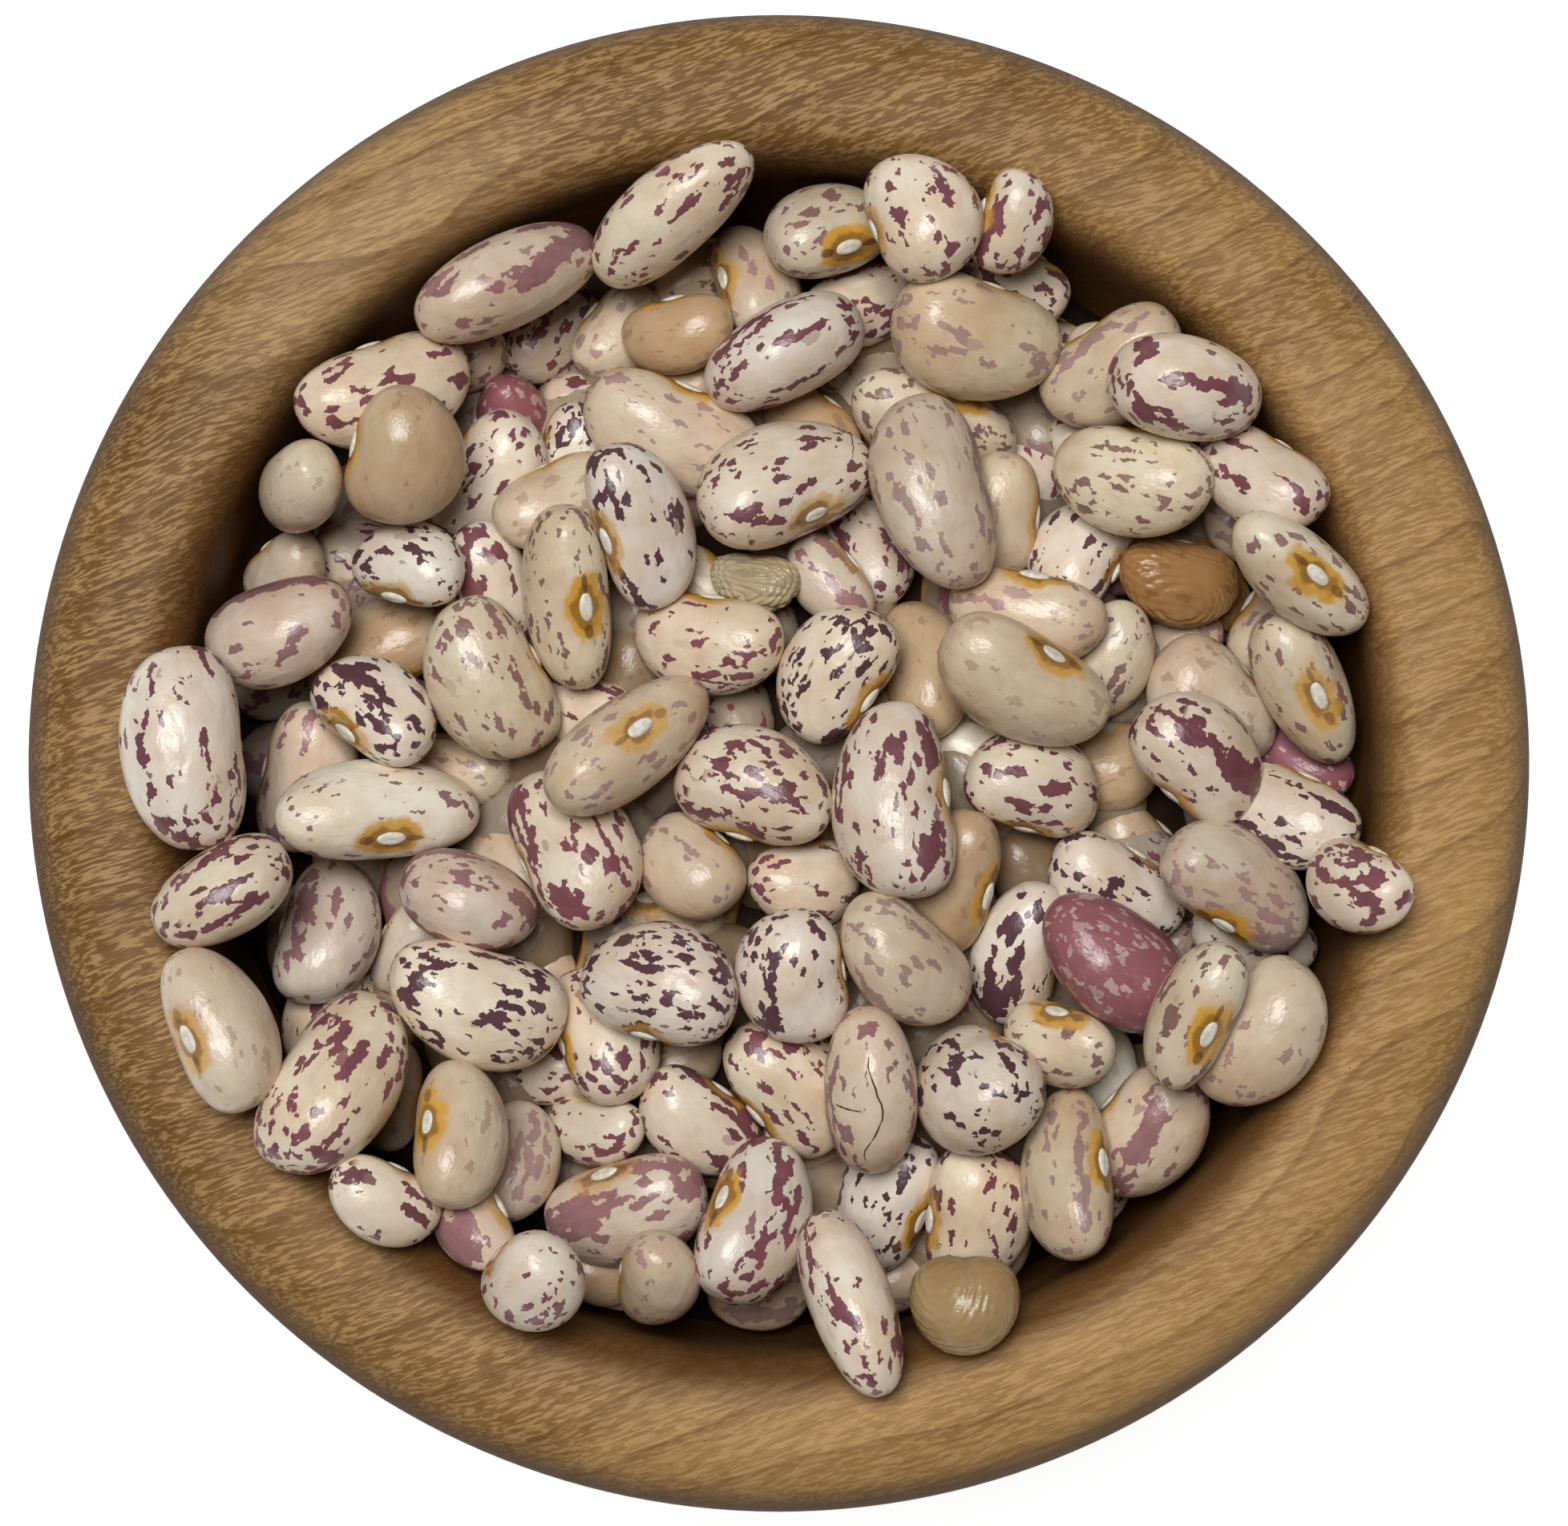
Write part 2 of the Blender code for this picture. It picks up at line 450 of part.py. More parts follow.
def ring_beans():
    """The beans that lie round the wall, in the same terms as those read off the photograph."""
    draw = random.Random(RING_SEED)
    beans = []
    for i in range(RING_BEANS):
        angle = 2 * math.pi * (i + draw.uniform(-0.25, 0.25)) / RING_BEANS
        radius = RING_RADIUS + draw.uniform(-1.5, 1.0)
        heading = math.degrees(angle) + draw.uniform(40, 140)
        size = draw.uniform(10, 13)
        x, y = radius * math.cos(angle), radius * math.sin(angle)
        nearest = min(math.dist((x, y), seen[:2]) for seen in LOWEST + MIDDLE)
        if nearest > RING_ROOM:
            beans.append((x, y, heading, size, 0.62 * size, 0, 0))
    return beans


def make_heap():
    coat = make_material("bean_coat", (0.66, 0.53, 0.38), 0.4)
    heap = add_object("beans", make_core(), coat)
    loose = bpy.data.collections.new("loose_beans")
    bpy.context.scene.collection.children.link(loose)
    axis, bare_bed, wall = bowl_field()
    bed = bare_bed.copy()
    settled, facets, seen_places, groups = [], [], [], []
    for number, (group, depth, sides, rings) in enumerate(GROUPS):
        for seen in (ring_beans() if group is LOWEST else []) + group:
            settled.append(settle(seen, depth, axis, bed, wall))
            facets.append((sides, rings))
            seen_places.append(Vector(seen[:2]) * MM)
            groups.append(number)
    places = push_apart(settled, seen_places, groups, axis, bare_bed, wall)
    for place, (_, turn, half_sizes), (sides, rings) in zip(places, settled, facets):
        bean = add_object("bean", bean_mesh("bean", half_sizes, sides, rings), None, loose)
        bean.matrix_world = Matrix.Translation(place) @ turn.to_4x4()
    turns = [np.array(bean[1]) for bean in settled]
    sizes = [bean[2] for bean in settled]
    for i, j in peg_pairs(places, turns, sizes, axis, bare_bed):
        add_object("peg", peg_mesh(places[i], places[j]), None, loose)
    bpy.context.view_layer.update()
    fuse = heap.modifiers.new("fuse", "BOOLEAN")
    fuse.operation = "UNION"
    fuse.operand_type = "COLLECTION"
    fuse.collection = loose
    fuse.solver = "EXACT"
    graph = bpy.context.evaluated_depsgraph_get()
    fused = bpy.data.meshes.new_from_object(heap.evaluated_get(graph))
    heap.modifiers.clear()
    for bean in list(loose.objects):
        bpy.data.objects.remove(bean)
    bpy.data.collections.remove(loose)
    keep_largest_shell(fused)
    heap.data = fused
    return heap


clear_scene()
make_bowl()
make_heap()
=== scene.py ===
"""The looks of a thick-rimmed wooden bowl heaped with dried speckled beans, seen from almost overhead."""

import itertools
import math
import random

import bpy
import numpy as np
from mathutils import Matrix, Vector


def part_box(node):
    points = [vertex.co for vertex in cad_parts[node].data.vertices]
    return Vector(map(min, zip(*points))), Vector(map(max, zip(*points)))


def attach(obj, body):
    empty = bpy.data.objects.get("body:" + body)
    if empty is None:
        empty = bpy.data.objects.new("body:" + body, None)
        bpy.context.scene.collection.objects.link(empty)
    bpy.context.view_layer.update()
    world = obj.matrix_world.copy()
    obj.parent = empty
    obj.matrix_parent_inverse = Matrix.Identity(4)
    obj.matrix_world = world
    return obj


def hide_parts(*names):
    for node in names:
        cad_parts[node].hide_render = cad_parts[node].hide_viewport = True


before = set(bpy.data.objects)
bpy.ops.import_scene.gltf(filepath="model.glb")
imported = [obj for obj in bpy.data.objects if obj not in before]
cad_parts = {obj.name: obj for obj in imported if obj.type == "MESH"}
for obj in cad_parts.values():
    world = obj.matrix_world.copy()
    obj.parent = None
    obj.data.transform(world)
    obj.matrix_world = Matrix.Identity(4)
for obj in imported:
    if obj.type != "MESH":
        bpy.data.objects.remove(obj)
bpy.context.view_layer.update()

MM = 0.001


# The bowl
# A small bowl turned from one block of warm brown hardwood, sanded and rubbed with oil to a satin.
# Its thick rim rolls over softly from a full outside to a steep hollow, and the grain runs across it.
_, bowl_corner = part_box("bowl")
BOWL_RADIUS = bowl_corner.x / MM
BOWL_HEIGHT = bowl_corner.z / MM
FOOT_RADIUS = 31.0
FLOOR_THICKNESS = 10.0
WALL_AT_RIM = 13.8
CREST_RADIUS = BOWL_RADIUS - 0.5 * WALL_AT_RIM
MOUTH_RADIUS = BOWL_RADIUS - WALL_AT_RIM
OUTER_LOBE_DEPTH = 10.0
INNER_LOBE_DEPTH = 8.0
RIM_SQUARENESS = 2.5
INNER_SQUARENESS = 3.6
OUTSIDE_FULLNESS = 1.9
HOLLOW_FULLNESS = 2.8
FOOT_EDGE = 1.2
BOWL_SIDES = 220


def lobe(reach, depth, squareness, turn):
    """A quarter superellipse: reach and depth times cosine and sine of the turn, each to the same power."""
    angle = turn * math.pi / 2
    power = 2 / squareness
    return np.stack((reach * np.cos(angle) ** power, depth * np.sin(angle) ** power), -1)


def bowl_profile(steps):
    """Radius and height from the foot up the outside, over the two lobes of the rim and down the hollow."""
    turn = np.linspace(0, 1, steps)
    outer_z = BOWL_HEIGHT - OUTER_LOBE_DEPTH
    inner_z = BOWL_HEIGHT - INNER_LOBE_DEPTH
    foot = np.array([[FOOT_RADIUS * 0.5, 0], [FOOT_RADIUS - FOOT_EDGE, 0]])
    outside = lobe(BOWL_RADIUS - FOOT_RADIUS, outer_z - FOOT_EDGE, OUTSIDE_FULLNESS, 1 - turn)
    outer_rim = lobe(BOWL_RADIUS - CREST_RADIUS, OUTER_LOBE_DEPTH, RIM_SQUARENESS, turn)
    inner_rim = lobe(CREST_RADIUS - MOUTH_RADIUS, INNER_LOBE_DEPTH, INNER_SQUARENESS, 1 - turn)
    hollow = lobe(MOUTH_RADIUS, inner_z - FLOOR_THICKNESS, HOLLOW_FULLNESS, turn)
    return np.concatenate((
        foot,
        outside * (1, -1) + (FOOT_RADIUS, outer_z),
        (outer_rim + (CREST_RADIUS, outer_z))[1:],
        (inner_rim * (-1, 1) + (CREST_RADIUS, inner_z))[1:],
        (hollow * (1, -1) + (0, inner_z))[1:-1],
    ))


def shell_faces(rings, sides):
    """Quads between rings of corners, wrapped round, and a fan to a pole at each end, all facing outwards."""
    i, j = np.meshgrid(np.arange(rings - 1), np.arange(sides), indexing="ij")
    k = (j + 1) % sides
    quads = np.stack((i * sides + j, i * sides + k, (i + 1) * sides + k, (i + 1) * sides + j), -1)
    side = np.arange(sides)
    after = (side + 1) % sides
    first, last = rings * sides, rings * sides + 1
    start = np.stack((np.full(sides, first), after, side), -1)
    end = np.stack((np.full(sides, last), side, after), -1)
    end[:, 1:] += (rings - 1) * sides
    return quads.reshape(-1, 4), np.concatenate((start, end))


def shells_object(name, points, poles, material):
    """One mesh of many closed shells, in millimetres: rings of points for each shell, and its two poles."""
    shells, rings, sides = points.shape[:3]
    corners = np.concatenate((points.reshape(shells, rings * sides, 3), poles), axis=1).reshape(-1, 3)
    quads, fans = shell_faces(rings, sides)
    shift = (np.arange(shells) * (rings * sides + 2))[:, None, None]
    faces = (quads[None] + shift).reshape(-1, 4).tolist() + (fans[None] + shift).reshape(-1, 3).tolist()
    mesh = bpy.data.meshes.new(name)
    mesh.from_pydata((corners * MM).tolist(), [], faces)
    mesh.shade_smooth()
    mesh.materials.append(material)
    made = bpy.data.objects.new(name, mesh)
    bpy.context.scene.collection.objects.link(made)
    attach(made, "root")
    return made


def turned_object(name, profile, pole_heights, sides, material):
    """The profile carried round Z: each radius times cosine and sine of the turn, each height kept."""
    turn = np.linspace(0, 2 * math.pi, sides, endpoint=False)
    radius, height = profile[:, :1], profile[:, 1:]
    points = np.stack((radius * np.cos(turn), radius * np.sin(turn), height + 0 * turn), -1)
    poles = np.array([[(0, 0, pole_heights[0]), (0, 0, pole_heights[1])]])
    return shells_object(name, points[None], poles, material)


def linear(red, green, blue):
    """An sRGB colour of 0 to 255 as the linear light that shaders take."""
    share = np.array((red, green, blue)) / 255
    return np.where(share < 0.04045, share / 12.92, ((share + 0.055) / 1.055) ** 2.4)


def plug(tree, made, inputs):
    """Sets a node's inputs. Each is another node's socket, to be linked, or a plain value."""
    for name, value in inputs.items():
        if isinstance(value, bpy.types.NodeSocket):
            tree.links.new(value, made.inputs[name])
        else:
            made.inputs[name].default_value = value


def node(tree, kind, inputs, **settings):
    """Adds a shader node with these inputs and settings."""
    made = tree.nodes.new(kind)
    for name, value in settings.items():
        setattr(made, name, value)
    plug(tree, made, inputs)
    return made


def sums(tree, operation, *values):
    """The result of a Math node on sockets or numbers."""
    return node(tree, "ShaderNodeMath", dict(enumerate(values)), operation=operation).outputs[0]


def times(tree, first, second):
    """The product of two sockets or numbers."""
    return sums(tree, "MULTIPLY", first, second)


def scaled(tree, vector, x, y, z, turn=0.0):
    """A vector turned about Z and then scaled on each axis, as a pattern's coordinates."""
    turned = node(tree, "ShaderNodeMapping", {"Vector": vector, "Rotation": (0, 0, turn)}).outputs[0]
    return node(tree, "ShaderNodeMapping", {"Vector": turned, "Scale": (x, y, z)}).outputs[0]


def moved(tree, operation, vector, other):
    """The result of a Vector Math node on a vector and another vector, or a number to scale it by."""
    second = "Scale" if operation == "SCALE" else 1
    return node(tree, "ShaderNodeVectorMath", {0: vector, second: other}, operation=operation).outputs[0]


def distance(tree, vector, point):
    """How far a vector is from a point."""
    return node(tree, "ShaderNodeVectorMath", {0: vector, 1: point}, operation="DISTANCE").outputs["Value"]


def along_way(tree, vector, way):
    """The dot product of a vector and a way: how far it reaches along it."""
    return node(tree, "ShaderNodeVectorMath", {0: vector, 1: way}, operation="DOT_PRODUCT").outputs["Value"]


def strayed(tree, place, scale, detail, reach):
    """A place moved by a noise of its own on each axis, by up to about half the reach."""
    stray = node(tree, "ShaderNodeTexNoise", {"Vector": place, "Scale": scale, "Detail": detail})
    stray = moved(tree, "SUBTRACT", stray.outputs["Color"], (0.5, 0.5, 0.5))
    return moved(tree, "ADD", place, moved(tree, "SCALE", stray, reach))


def noise(tree, vector, scale, detail=2.0, roughness=0.5, distortion=0.0):
    """A noise value about 0.5, whose lumps are about 1 / scale of the vector's unit across."""
    values = {"Vector": vector, "Scale": scale, "Detail": detail}
    values |= {"Roughness": roughness, "Distortion": distortion}
    return node(tree, "ShaderNodeTexNoise", values).outputs["Fac"]


def step(tree, value, low, high):
    """A smooth step of the value from 0 at low to 1 at high."""
    values = {"Value": value, "From Min": low, "From Max": high}
    return node(tree, "ShaderNodeMapRange", values, interpolation_type="SMOOTHSTEP").outputs[0]


def blend(tree, share, under, over, mode="MIX"):
    """Two colours mixed by a share of the second."""
    values = {0: share, 6: under, 7: over}
    return node(tree, "ShaderNodeMix", values, data_type="RGBA", blend_type=mode).outputs[2]


def colour(red, green, blue):
    """An sRGB colour of 0 to 255 as a shader's four linear numbers."""
    return (*linear(red, green, blue), 1.0)


def new_material(name):
    """A material with its nodes on, its tree and its Principled shader."""
    material = bpy.data.materials.new(name)
    material.use_nodes = True
    return material, material.node_tree, material.node_tree.nodes["Principled BSDF"]


def wood_material():
    """Oiled hardwood: pale flecks, dark fibres and growth rings along the grain, and a few pits.

    It pales from heartwood to sapwood towards the lower right, partly painted light on that side, with a
    painted sheen as a pale patch at the far left. It has painted shade outside, underneath, and round the
    mouth, a little off the bowl's axis, where a darker stain lies under the painted shade.
    """
    grain_turn = math.radians(-20)
    grain_way, ring_way, lit_sapwood_way = (0.5, 1.0, 1.0), (-0.44, 0.9, 0.22), (0.86, -0.52, 0)
    ring_gap, ring_wander = 6.0, 26.0
    painted_sheen_middle, mouth_shade_middle = (-36, 45, 42), (-0.7, -1.2, 0)
    material, tree, shader = new_material("oiled_turned_wood")
    place = moved(tree, "SCALE", node(tree, "ShaderNodeTexCoord", {}).outputs["Object"], 1 / MM)
    wavy = strayed(tree, place, 0.07, 2.0, 2.5)
    flecks = noise(tree, scaled(tree, wavy, 0.15, 1.0, 0.5, grain_turn), 3.6, 2.0, 0.6, 0.2)
    fibres = noise(tree, scaled(tree, wavy, 0.05, 1.0, 0.7, grain_turn), 2.6, 3.0, 0.6)
    clouds = noise(tree, scaled(tree, place, *grain_way, grain_turn), 0.08, 3.0, 0.55)
    wander = noise(tree, scaled(tree, place, *grain_way, grain_turn), 0.035, 3.0, 0.4)
    across = sums(tree, "ADD", along_way(tree, place, ring_way), times(tree, wander, ring_wander))
    ring = sums(tree, "FRACT", sums(tree, "DIVIDE", across, ring_gap))
    # Paler towards the lower right: partly sapwood, partly painted light on that side; rings and fibres fade
    # there too.
    sapwood_and_lit_side = step(tree, along_way(tree, place, lit_sapwood_way), -50.0, 75.0)
    late = sums(tree, "SUBTRACT", 0.5, times(tree, sapwood_and_lit_side, 0.3))
    late = times(tree, step(tree, ring, 0.3, 0.93), late)
    line = times(tree, step(tree, ring, 0.86, 0.95), 0.55)
    ring = times(tree, sums(tree, "ADD", late, line), step(tree, ring, 1.0, 0.965))

    shaded_heartwood = blend(tree, step(tree, clouds, 0.3, 0.7), colour(114, 82, 42), colour(134, 99, 54))
    lit_sapwood = blend(tree, step(tree, clouds, 0.3, 0.7), colour(166, 124, 69), colour(198, 156, 98))
    base = blend(tree, sapwood_and_lit_side, shaded_heartwood, lit_sapwood)
    # Painted sheen: a pale patch at the far left stands in for light glancing off the oiled rim.
    painted_sheen = times(tree, step(tree, distance(tree, place, painted_sheen_middle), 26.0, 4.0), 0.6)
    base = blend(tree, painted_sheen, base, colour(202, 168, 120))
    fibre_share = sums(tree, "SUBTRACT", 0.5, times(tree, sapwood_and_lit_side, 0.24))
    fibre_share = times(tree, step(tree, fibres, 0.35, 0.66), fibre_share)
    base = blend(tree, fibre_share, base, colour(108, 74, 38))
    fleck_share = times(tree, step(tree, flecks, 0.45, 0.6), 0.46)
    base = blend(tree, fleck_share, base, colour(216, 176, 121))
    base = blend(tree, times(tree, ring, 0.48), base, colour(96, 62, 28))
    specks = noise(tree, scaled(tree, place, 0.7, 1.0, 1.0, grain_turn), 2.4, 1.0)
    pits = step(tree, specks, 0.79, 0.83)
    base = blend(tree, times(tree, pits, 0.7), base, colour(70, 44, 24))

    level = moved(tree, "MULTIPLY", place, (1, 1, 0))
    radius = distance(tree, level, (0, 0, 0))
    height = node(tree, "ShaderNodeSeparateXYZ", {0: place}).outputs[2]
    # Painted shade: darker where the rim rolls down at its outer edge, and below the belly; the gloss fades
    # with it.
    painted_underside_shade = times(tree, step(tree, height, 33.0, 25.0), 0.7)
    painted_outside_shade = times(tree, step(tree, radius, 60.6, 63.9), 0.88)
    painted_outside_shade = sums(tree, "MAXIMUM", painted_outside_shade, painted_underside_shade)
    # Painted shade round the mouth over a darker orange-brown stain, centred a little off the bowl's axis.
    mouth_shade_and_stain = times(tree, step(tree, distance(tree, level, mouth_shade_middle), 54.4, 50.6), 0.87)
    base = blend(tree, painted_outside_shade, base, colour(84, 56, 28))
    base = blend(tree, mouth_shade_and_stain, base, colour(82, 50, 22))
    gloss = times(tree, sums(tree, "SUBTRACT", 1.0, painted_outside_shade), 0.12)
    relief = sums(tree, "ADD", times(tree, flecks, 0.6), times(tree, pits, -1.5))
    bump = node(tree, "ShaderNodeBump", {"Height": relief, "Strength": 0.35, "Distance": 0.0002}).outputs[0]
    plug(tree, shader, {"Base Color": base, "Roughness": 0.5, "Specular IOR Level": gloss, "Normal": bump})
    return material


profile = bowl_profile(26)
bowl = turned_object("turned_bowl", profile, (0, FLOOR_THICKNESS), BOWL_SIDES, wood_material())
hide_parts("bowl")


# How the beans lie
# Whole dried beans poured into the bowl, heaped in the middle and just under the rim at the wall.
# Each lies on the ones below it and on the wood. The eye is on the left of its heading.
GAP = 0.5
HEAP_EDGE_Z = BOWL_HEIGHT - 6
HEAP_RISE = 11.0
CORE_DEPTH = 12.0
PRESSED_IN = 0.9
EASE_ABOVE = 0.3
THICKNESS_RATIO = 0.84
END_BLUNTNESS = 0.82
BEND, BEND_MIDDLE = 0.09, 0.35
BREADTH_RATIO = 0.62
BED_SPACING = 8.6
BED_MARGIN = 5
BED_SEED = 3
BED_DEPTH = CORE_DEPTH - 0.5
RING_BEANS = 26
RING_RADIUS = 44.5
RING_ROOM = 6.0
RING_SEED = 5
FIELD_STEP = 0.5
FIELD_HALF = 62.0
SAMPLES = 40
SAMPLES_START = 0.02
RISE_TILTS = np.radians((-24, -16, -8, 0, 8, 16, 24))
ROLL_TILTS = np.radians((-16, -8, 0, 8, 16))
TILT_COST = 0.6
SHIFTS = [0, 0.6, 1.2, 1.8, 2.4]
SHIFT_COST = 0.5
NEAR_WALL = 0.8

# x and y from the bowl's axis, heading, length, breadth as seen, roll that turns the eye up, rise of the head
# and coat
LOWEST = [
    (-23.4, 30.0, 80, 11, 6.8, 0, 30, "maroon"), (-19.8, 36.4, 60, 11, 8, 20, 0, "speckled"),
    (-16.8, 31.6, 5, 10, 6.5, 0, 0, "speckled"), (-17.8, 26.8, 75, 10, 7, 0, 0, "dark"),
    (-13.5, 37.6, 55, 10, 7, 0, 0, "faded"), (-7.6, 42.0, 20, 10, 6.5, 0, 0, "flecked"),
    (-8.2, 32.4, 15, 8.5, 6, 0, 0, "tan"), (18.4, 45.2, 70, 9, 6.5, 0, 0, "streaked"),
    (19.4, 41.6, 100, 8, 6, 0, 0, "tan"), (23.3, 36.8, -15, 9.5, 6.5, 0, 0, "streaked"),
    (22.3, 40.0, -30, 9, 6.5, 0, 0, "speckled"), (30.6, 36.4, 0, 9, 6, 0, 0, "flecked"),
    (26.3, 27.4, 20, 8.5, 6, 0, 0, "streaked"), (42.3, 20.8, -20, 9, 6, 0, 0, "faded"),
    (38.0, 14.8, -65, 9.5, 6.2, 0, 0, "amber"), (34.0, 10.2, -5, 10.5, 6.5, 0, 0, "faded"),
    (44.8, -0.8, -35, 11, 7, 0, 0, "maroon"), (30.6, -6.6, -40, 11, 7, 0, 0, "faded"),
    (28.4, -3.0, 10, 9, 7.4, 0, 0, "tan"), (16.6, 1.0, -10, 8, 5, 0, 0, "husk"),
    (12.6, 6.8, 100, 13, 8, 0, 0, "tan"), (21.6, 26.3, 115, 10, 6.8, 0, 0, "speckled"),
    (8.0, 31.5, 75, 10, 7, 0, 0, "faded"), (3.2, 28.6, -40, 10, 6.5, 0, 0, "tan"),
    (7.4, 18.0, 110, 12, 7.4, 0, 0, "speckled"), (-6.0, 14.4, -40, 8, 5.5, 0, 0, "flecked"),
    (-17.0, 3.8, -15, 11, 6.5, 0, 0, "streaked"), (-9.8, -13.4, 0, 11, 6.4, 60, 0, "plain"),
    (14.4, -20.4, -70, 11, 6.4, 0, 0, "maroon"), (-22.8, -8.8, -65, 12, 7, 0, 0, "faded"),
    (-27.6, -1.0, -10, 10, 6.5, 0, 0, "faded"), (-32.6, -16.8, 60, 9, 6, 0, 0, "rose"),
    (-20.3, -26.2, -15, 10, 7, 0, 0, "banded"), (-8.6, -26.4, 20, 8, 6, 0, 0, "plain"),
    (2.2, -33.6, -25, 11, 6.5, 0, 0, "tan"), (-26.0, -41.2, -60, 9.5, 6.2, 0, 0, "rose"),
    (-16.4, -45.2, -30, 8, 5.8, 0, 0, "plain"), (-12.8, -44.6, 10, 8, 6, 0, 0, "tan"),
    (-1.6, -46.4, 10, 9, 6, 0, 0, "faded"), (9.2, -44.6, 20, 8, 6, 0, 0, "faded"),
    (20.4, -43.0, 75, 9, 6, 0, 0, "faded"), (41.2, -15.8, -15, 12, 7, 0, 0, "streaked"),
    (-43.2, 17.0, 30, 10, 6.4, 0, 35, "plain"), (-37.0, 16.8, 160, 10.5, 7.4, 20, 0, "speckled"),
    (-26.2, 34.6, 0, 8, 6, 0, 0, "rose"), (-21.0, -19.5, 10, 9, 6.5, 0, 0, "plain"),
]
MIDDLE = [
    (-34.6, 31.2, 22, 16, 9.2, 0, 0, "streaked"), (-24.0, 23.6, 50, 12.4, 8.7, 10, 0, "speckled"),
    (-19.6, 21.6, 28, 12, 7.6, 0, 0, "plain"), (-8.8, 36.2, 10, 10, 6.8, 0, 0, "tan"),
    (-1.8, 41.0, 108, 11.4, 7.8, 25, 0, "faded"), (6.8, 39.4, 25, 11.5, 7, 0, 0, "speckled"),
    (13.8, 28.2, -20, 15.6, 8.4, 45, 0, "flecked"), (19.6, 20.4, 265, 11, 8.2, 5, 0, "plain"),
    (29.6, 33.8, 32, 13.4, 8.8, 0, 0, "faded"), (41.3, 24.4, -38, 12.4, 7.8, 0, 0, "streaked"),
    (25.6, 17.4, 235, 11, 8.2, 15, 0, "dark"), (33.2, 15.0, -8, 11, 7.4, 0, 0, "amber"),
    (37.5, 4.8, -45, 13, 9.4, 0, 0, "plain"), (43.8, -5.0, -25, 12.6, 8.6, 0, 0, "dark"),
    (20.7, -4.4, 170, 12, 9, 5, 0, "speckled"), (28.4, 8.2, 60, 11, 7.6, 0, 0, "flecked"),
    (28.2, -11.2, -28, 13.4, 8.4, 0, 0, "dark"), (16.8, -9.4, 255, 13, 7.8, 25, 0, "tan"),
    (19.7, -16.4, 255, 13, 7.8, 5, 0, "dark"), (-7.0, -9.9, -45, 10, 8.2, 0, 0, "faded"),
    (1.4, -11.0, 5, 10, 7.6, 0, 0, "speckled"), (3.9, 14.4, -50, 9, 6, 0, 0, "rose"),
    (-2.0, 13.9, -12, 8, 4.8, 0, 0, "split"), (-24.4, 14.4, -65, 12, 7.9, 0, 0, "banded"),
    (-34.8, 8.8, 210, 13, 8, 20, 0, "tan"), (-40.6, -1.6, 75, 13.6, 8.4, 0, 0, "rose"),
    (-38.6, -15.4, 80, 13.2, 8.8, 0, 0, "rose"), (-22.0, -34.8, 75, 11, 7.4, 0, 0, "faded"),
    (-32.4, -37.0, -25, 10, 6.8, 0, 0, "banded"), (-15.7, -32.2, -5, 11, 6.2, 0, 25, "streaked"),
    (-7.0, -30.4, -35, 11.4, 7.9, 0, 0, "streaked"), (-14.8, -24.2, 112, 12.6, 8.6, 20, 0, "speckled"),
    (0.5, -28.6, 130, 13.6, 9.2, 8, 0, "speckled"), (9.5, -38.0, 252, 12.6, 8.2, 30, 0, "dark"),
    (16.9, -38.4, 85, 13, 9.4, 0, 0, "streaked"), (28.5, -27.3, -75, 9, 6, 0, 0, "husk"),
    (32.5, -33.6, 50, 13.4, 9.2, 0, 0, "rose"), (40.3, -25.0, 55, 13.6, 9.2, 0, 0, "faded"),
    (-9.4, -46.8, 75, 10.5, 7, 0, 30, "faded"), (15.4, -46.3, 0, 9, 8.4, 0, 0, "pea"),
    (-12.9, -39.0, 15, 14.6, 9.2, 35, 0, "rose"),
]
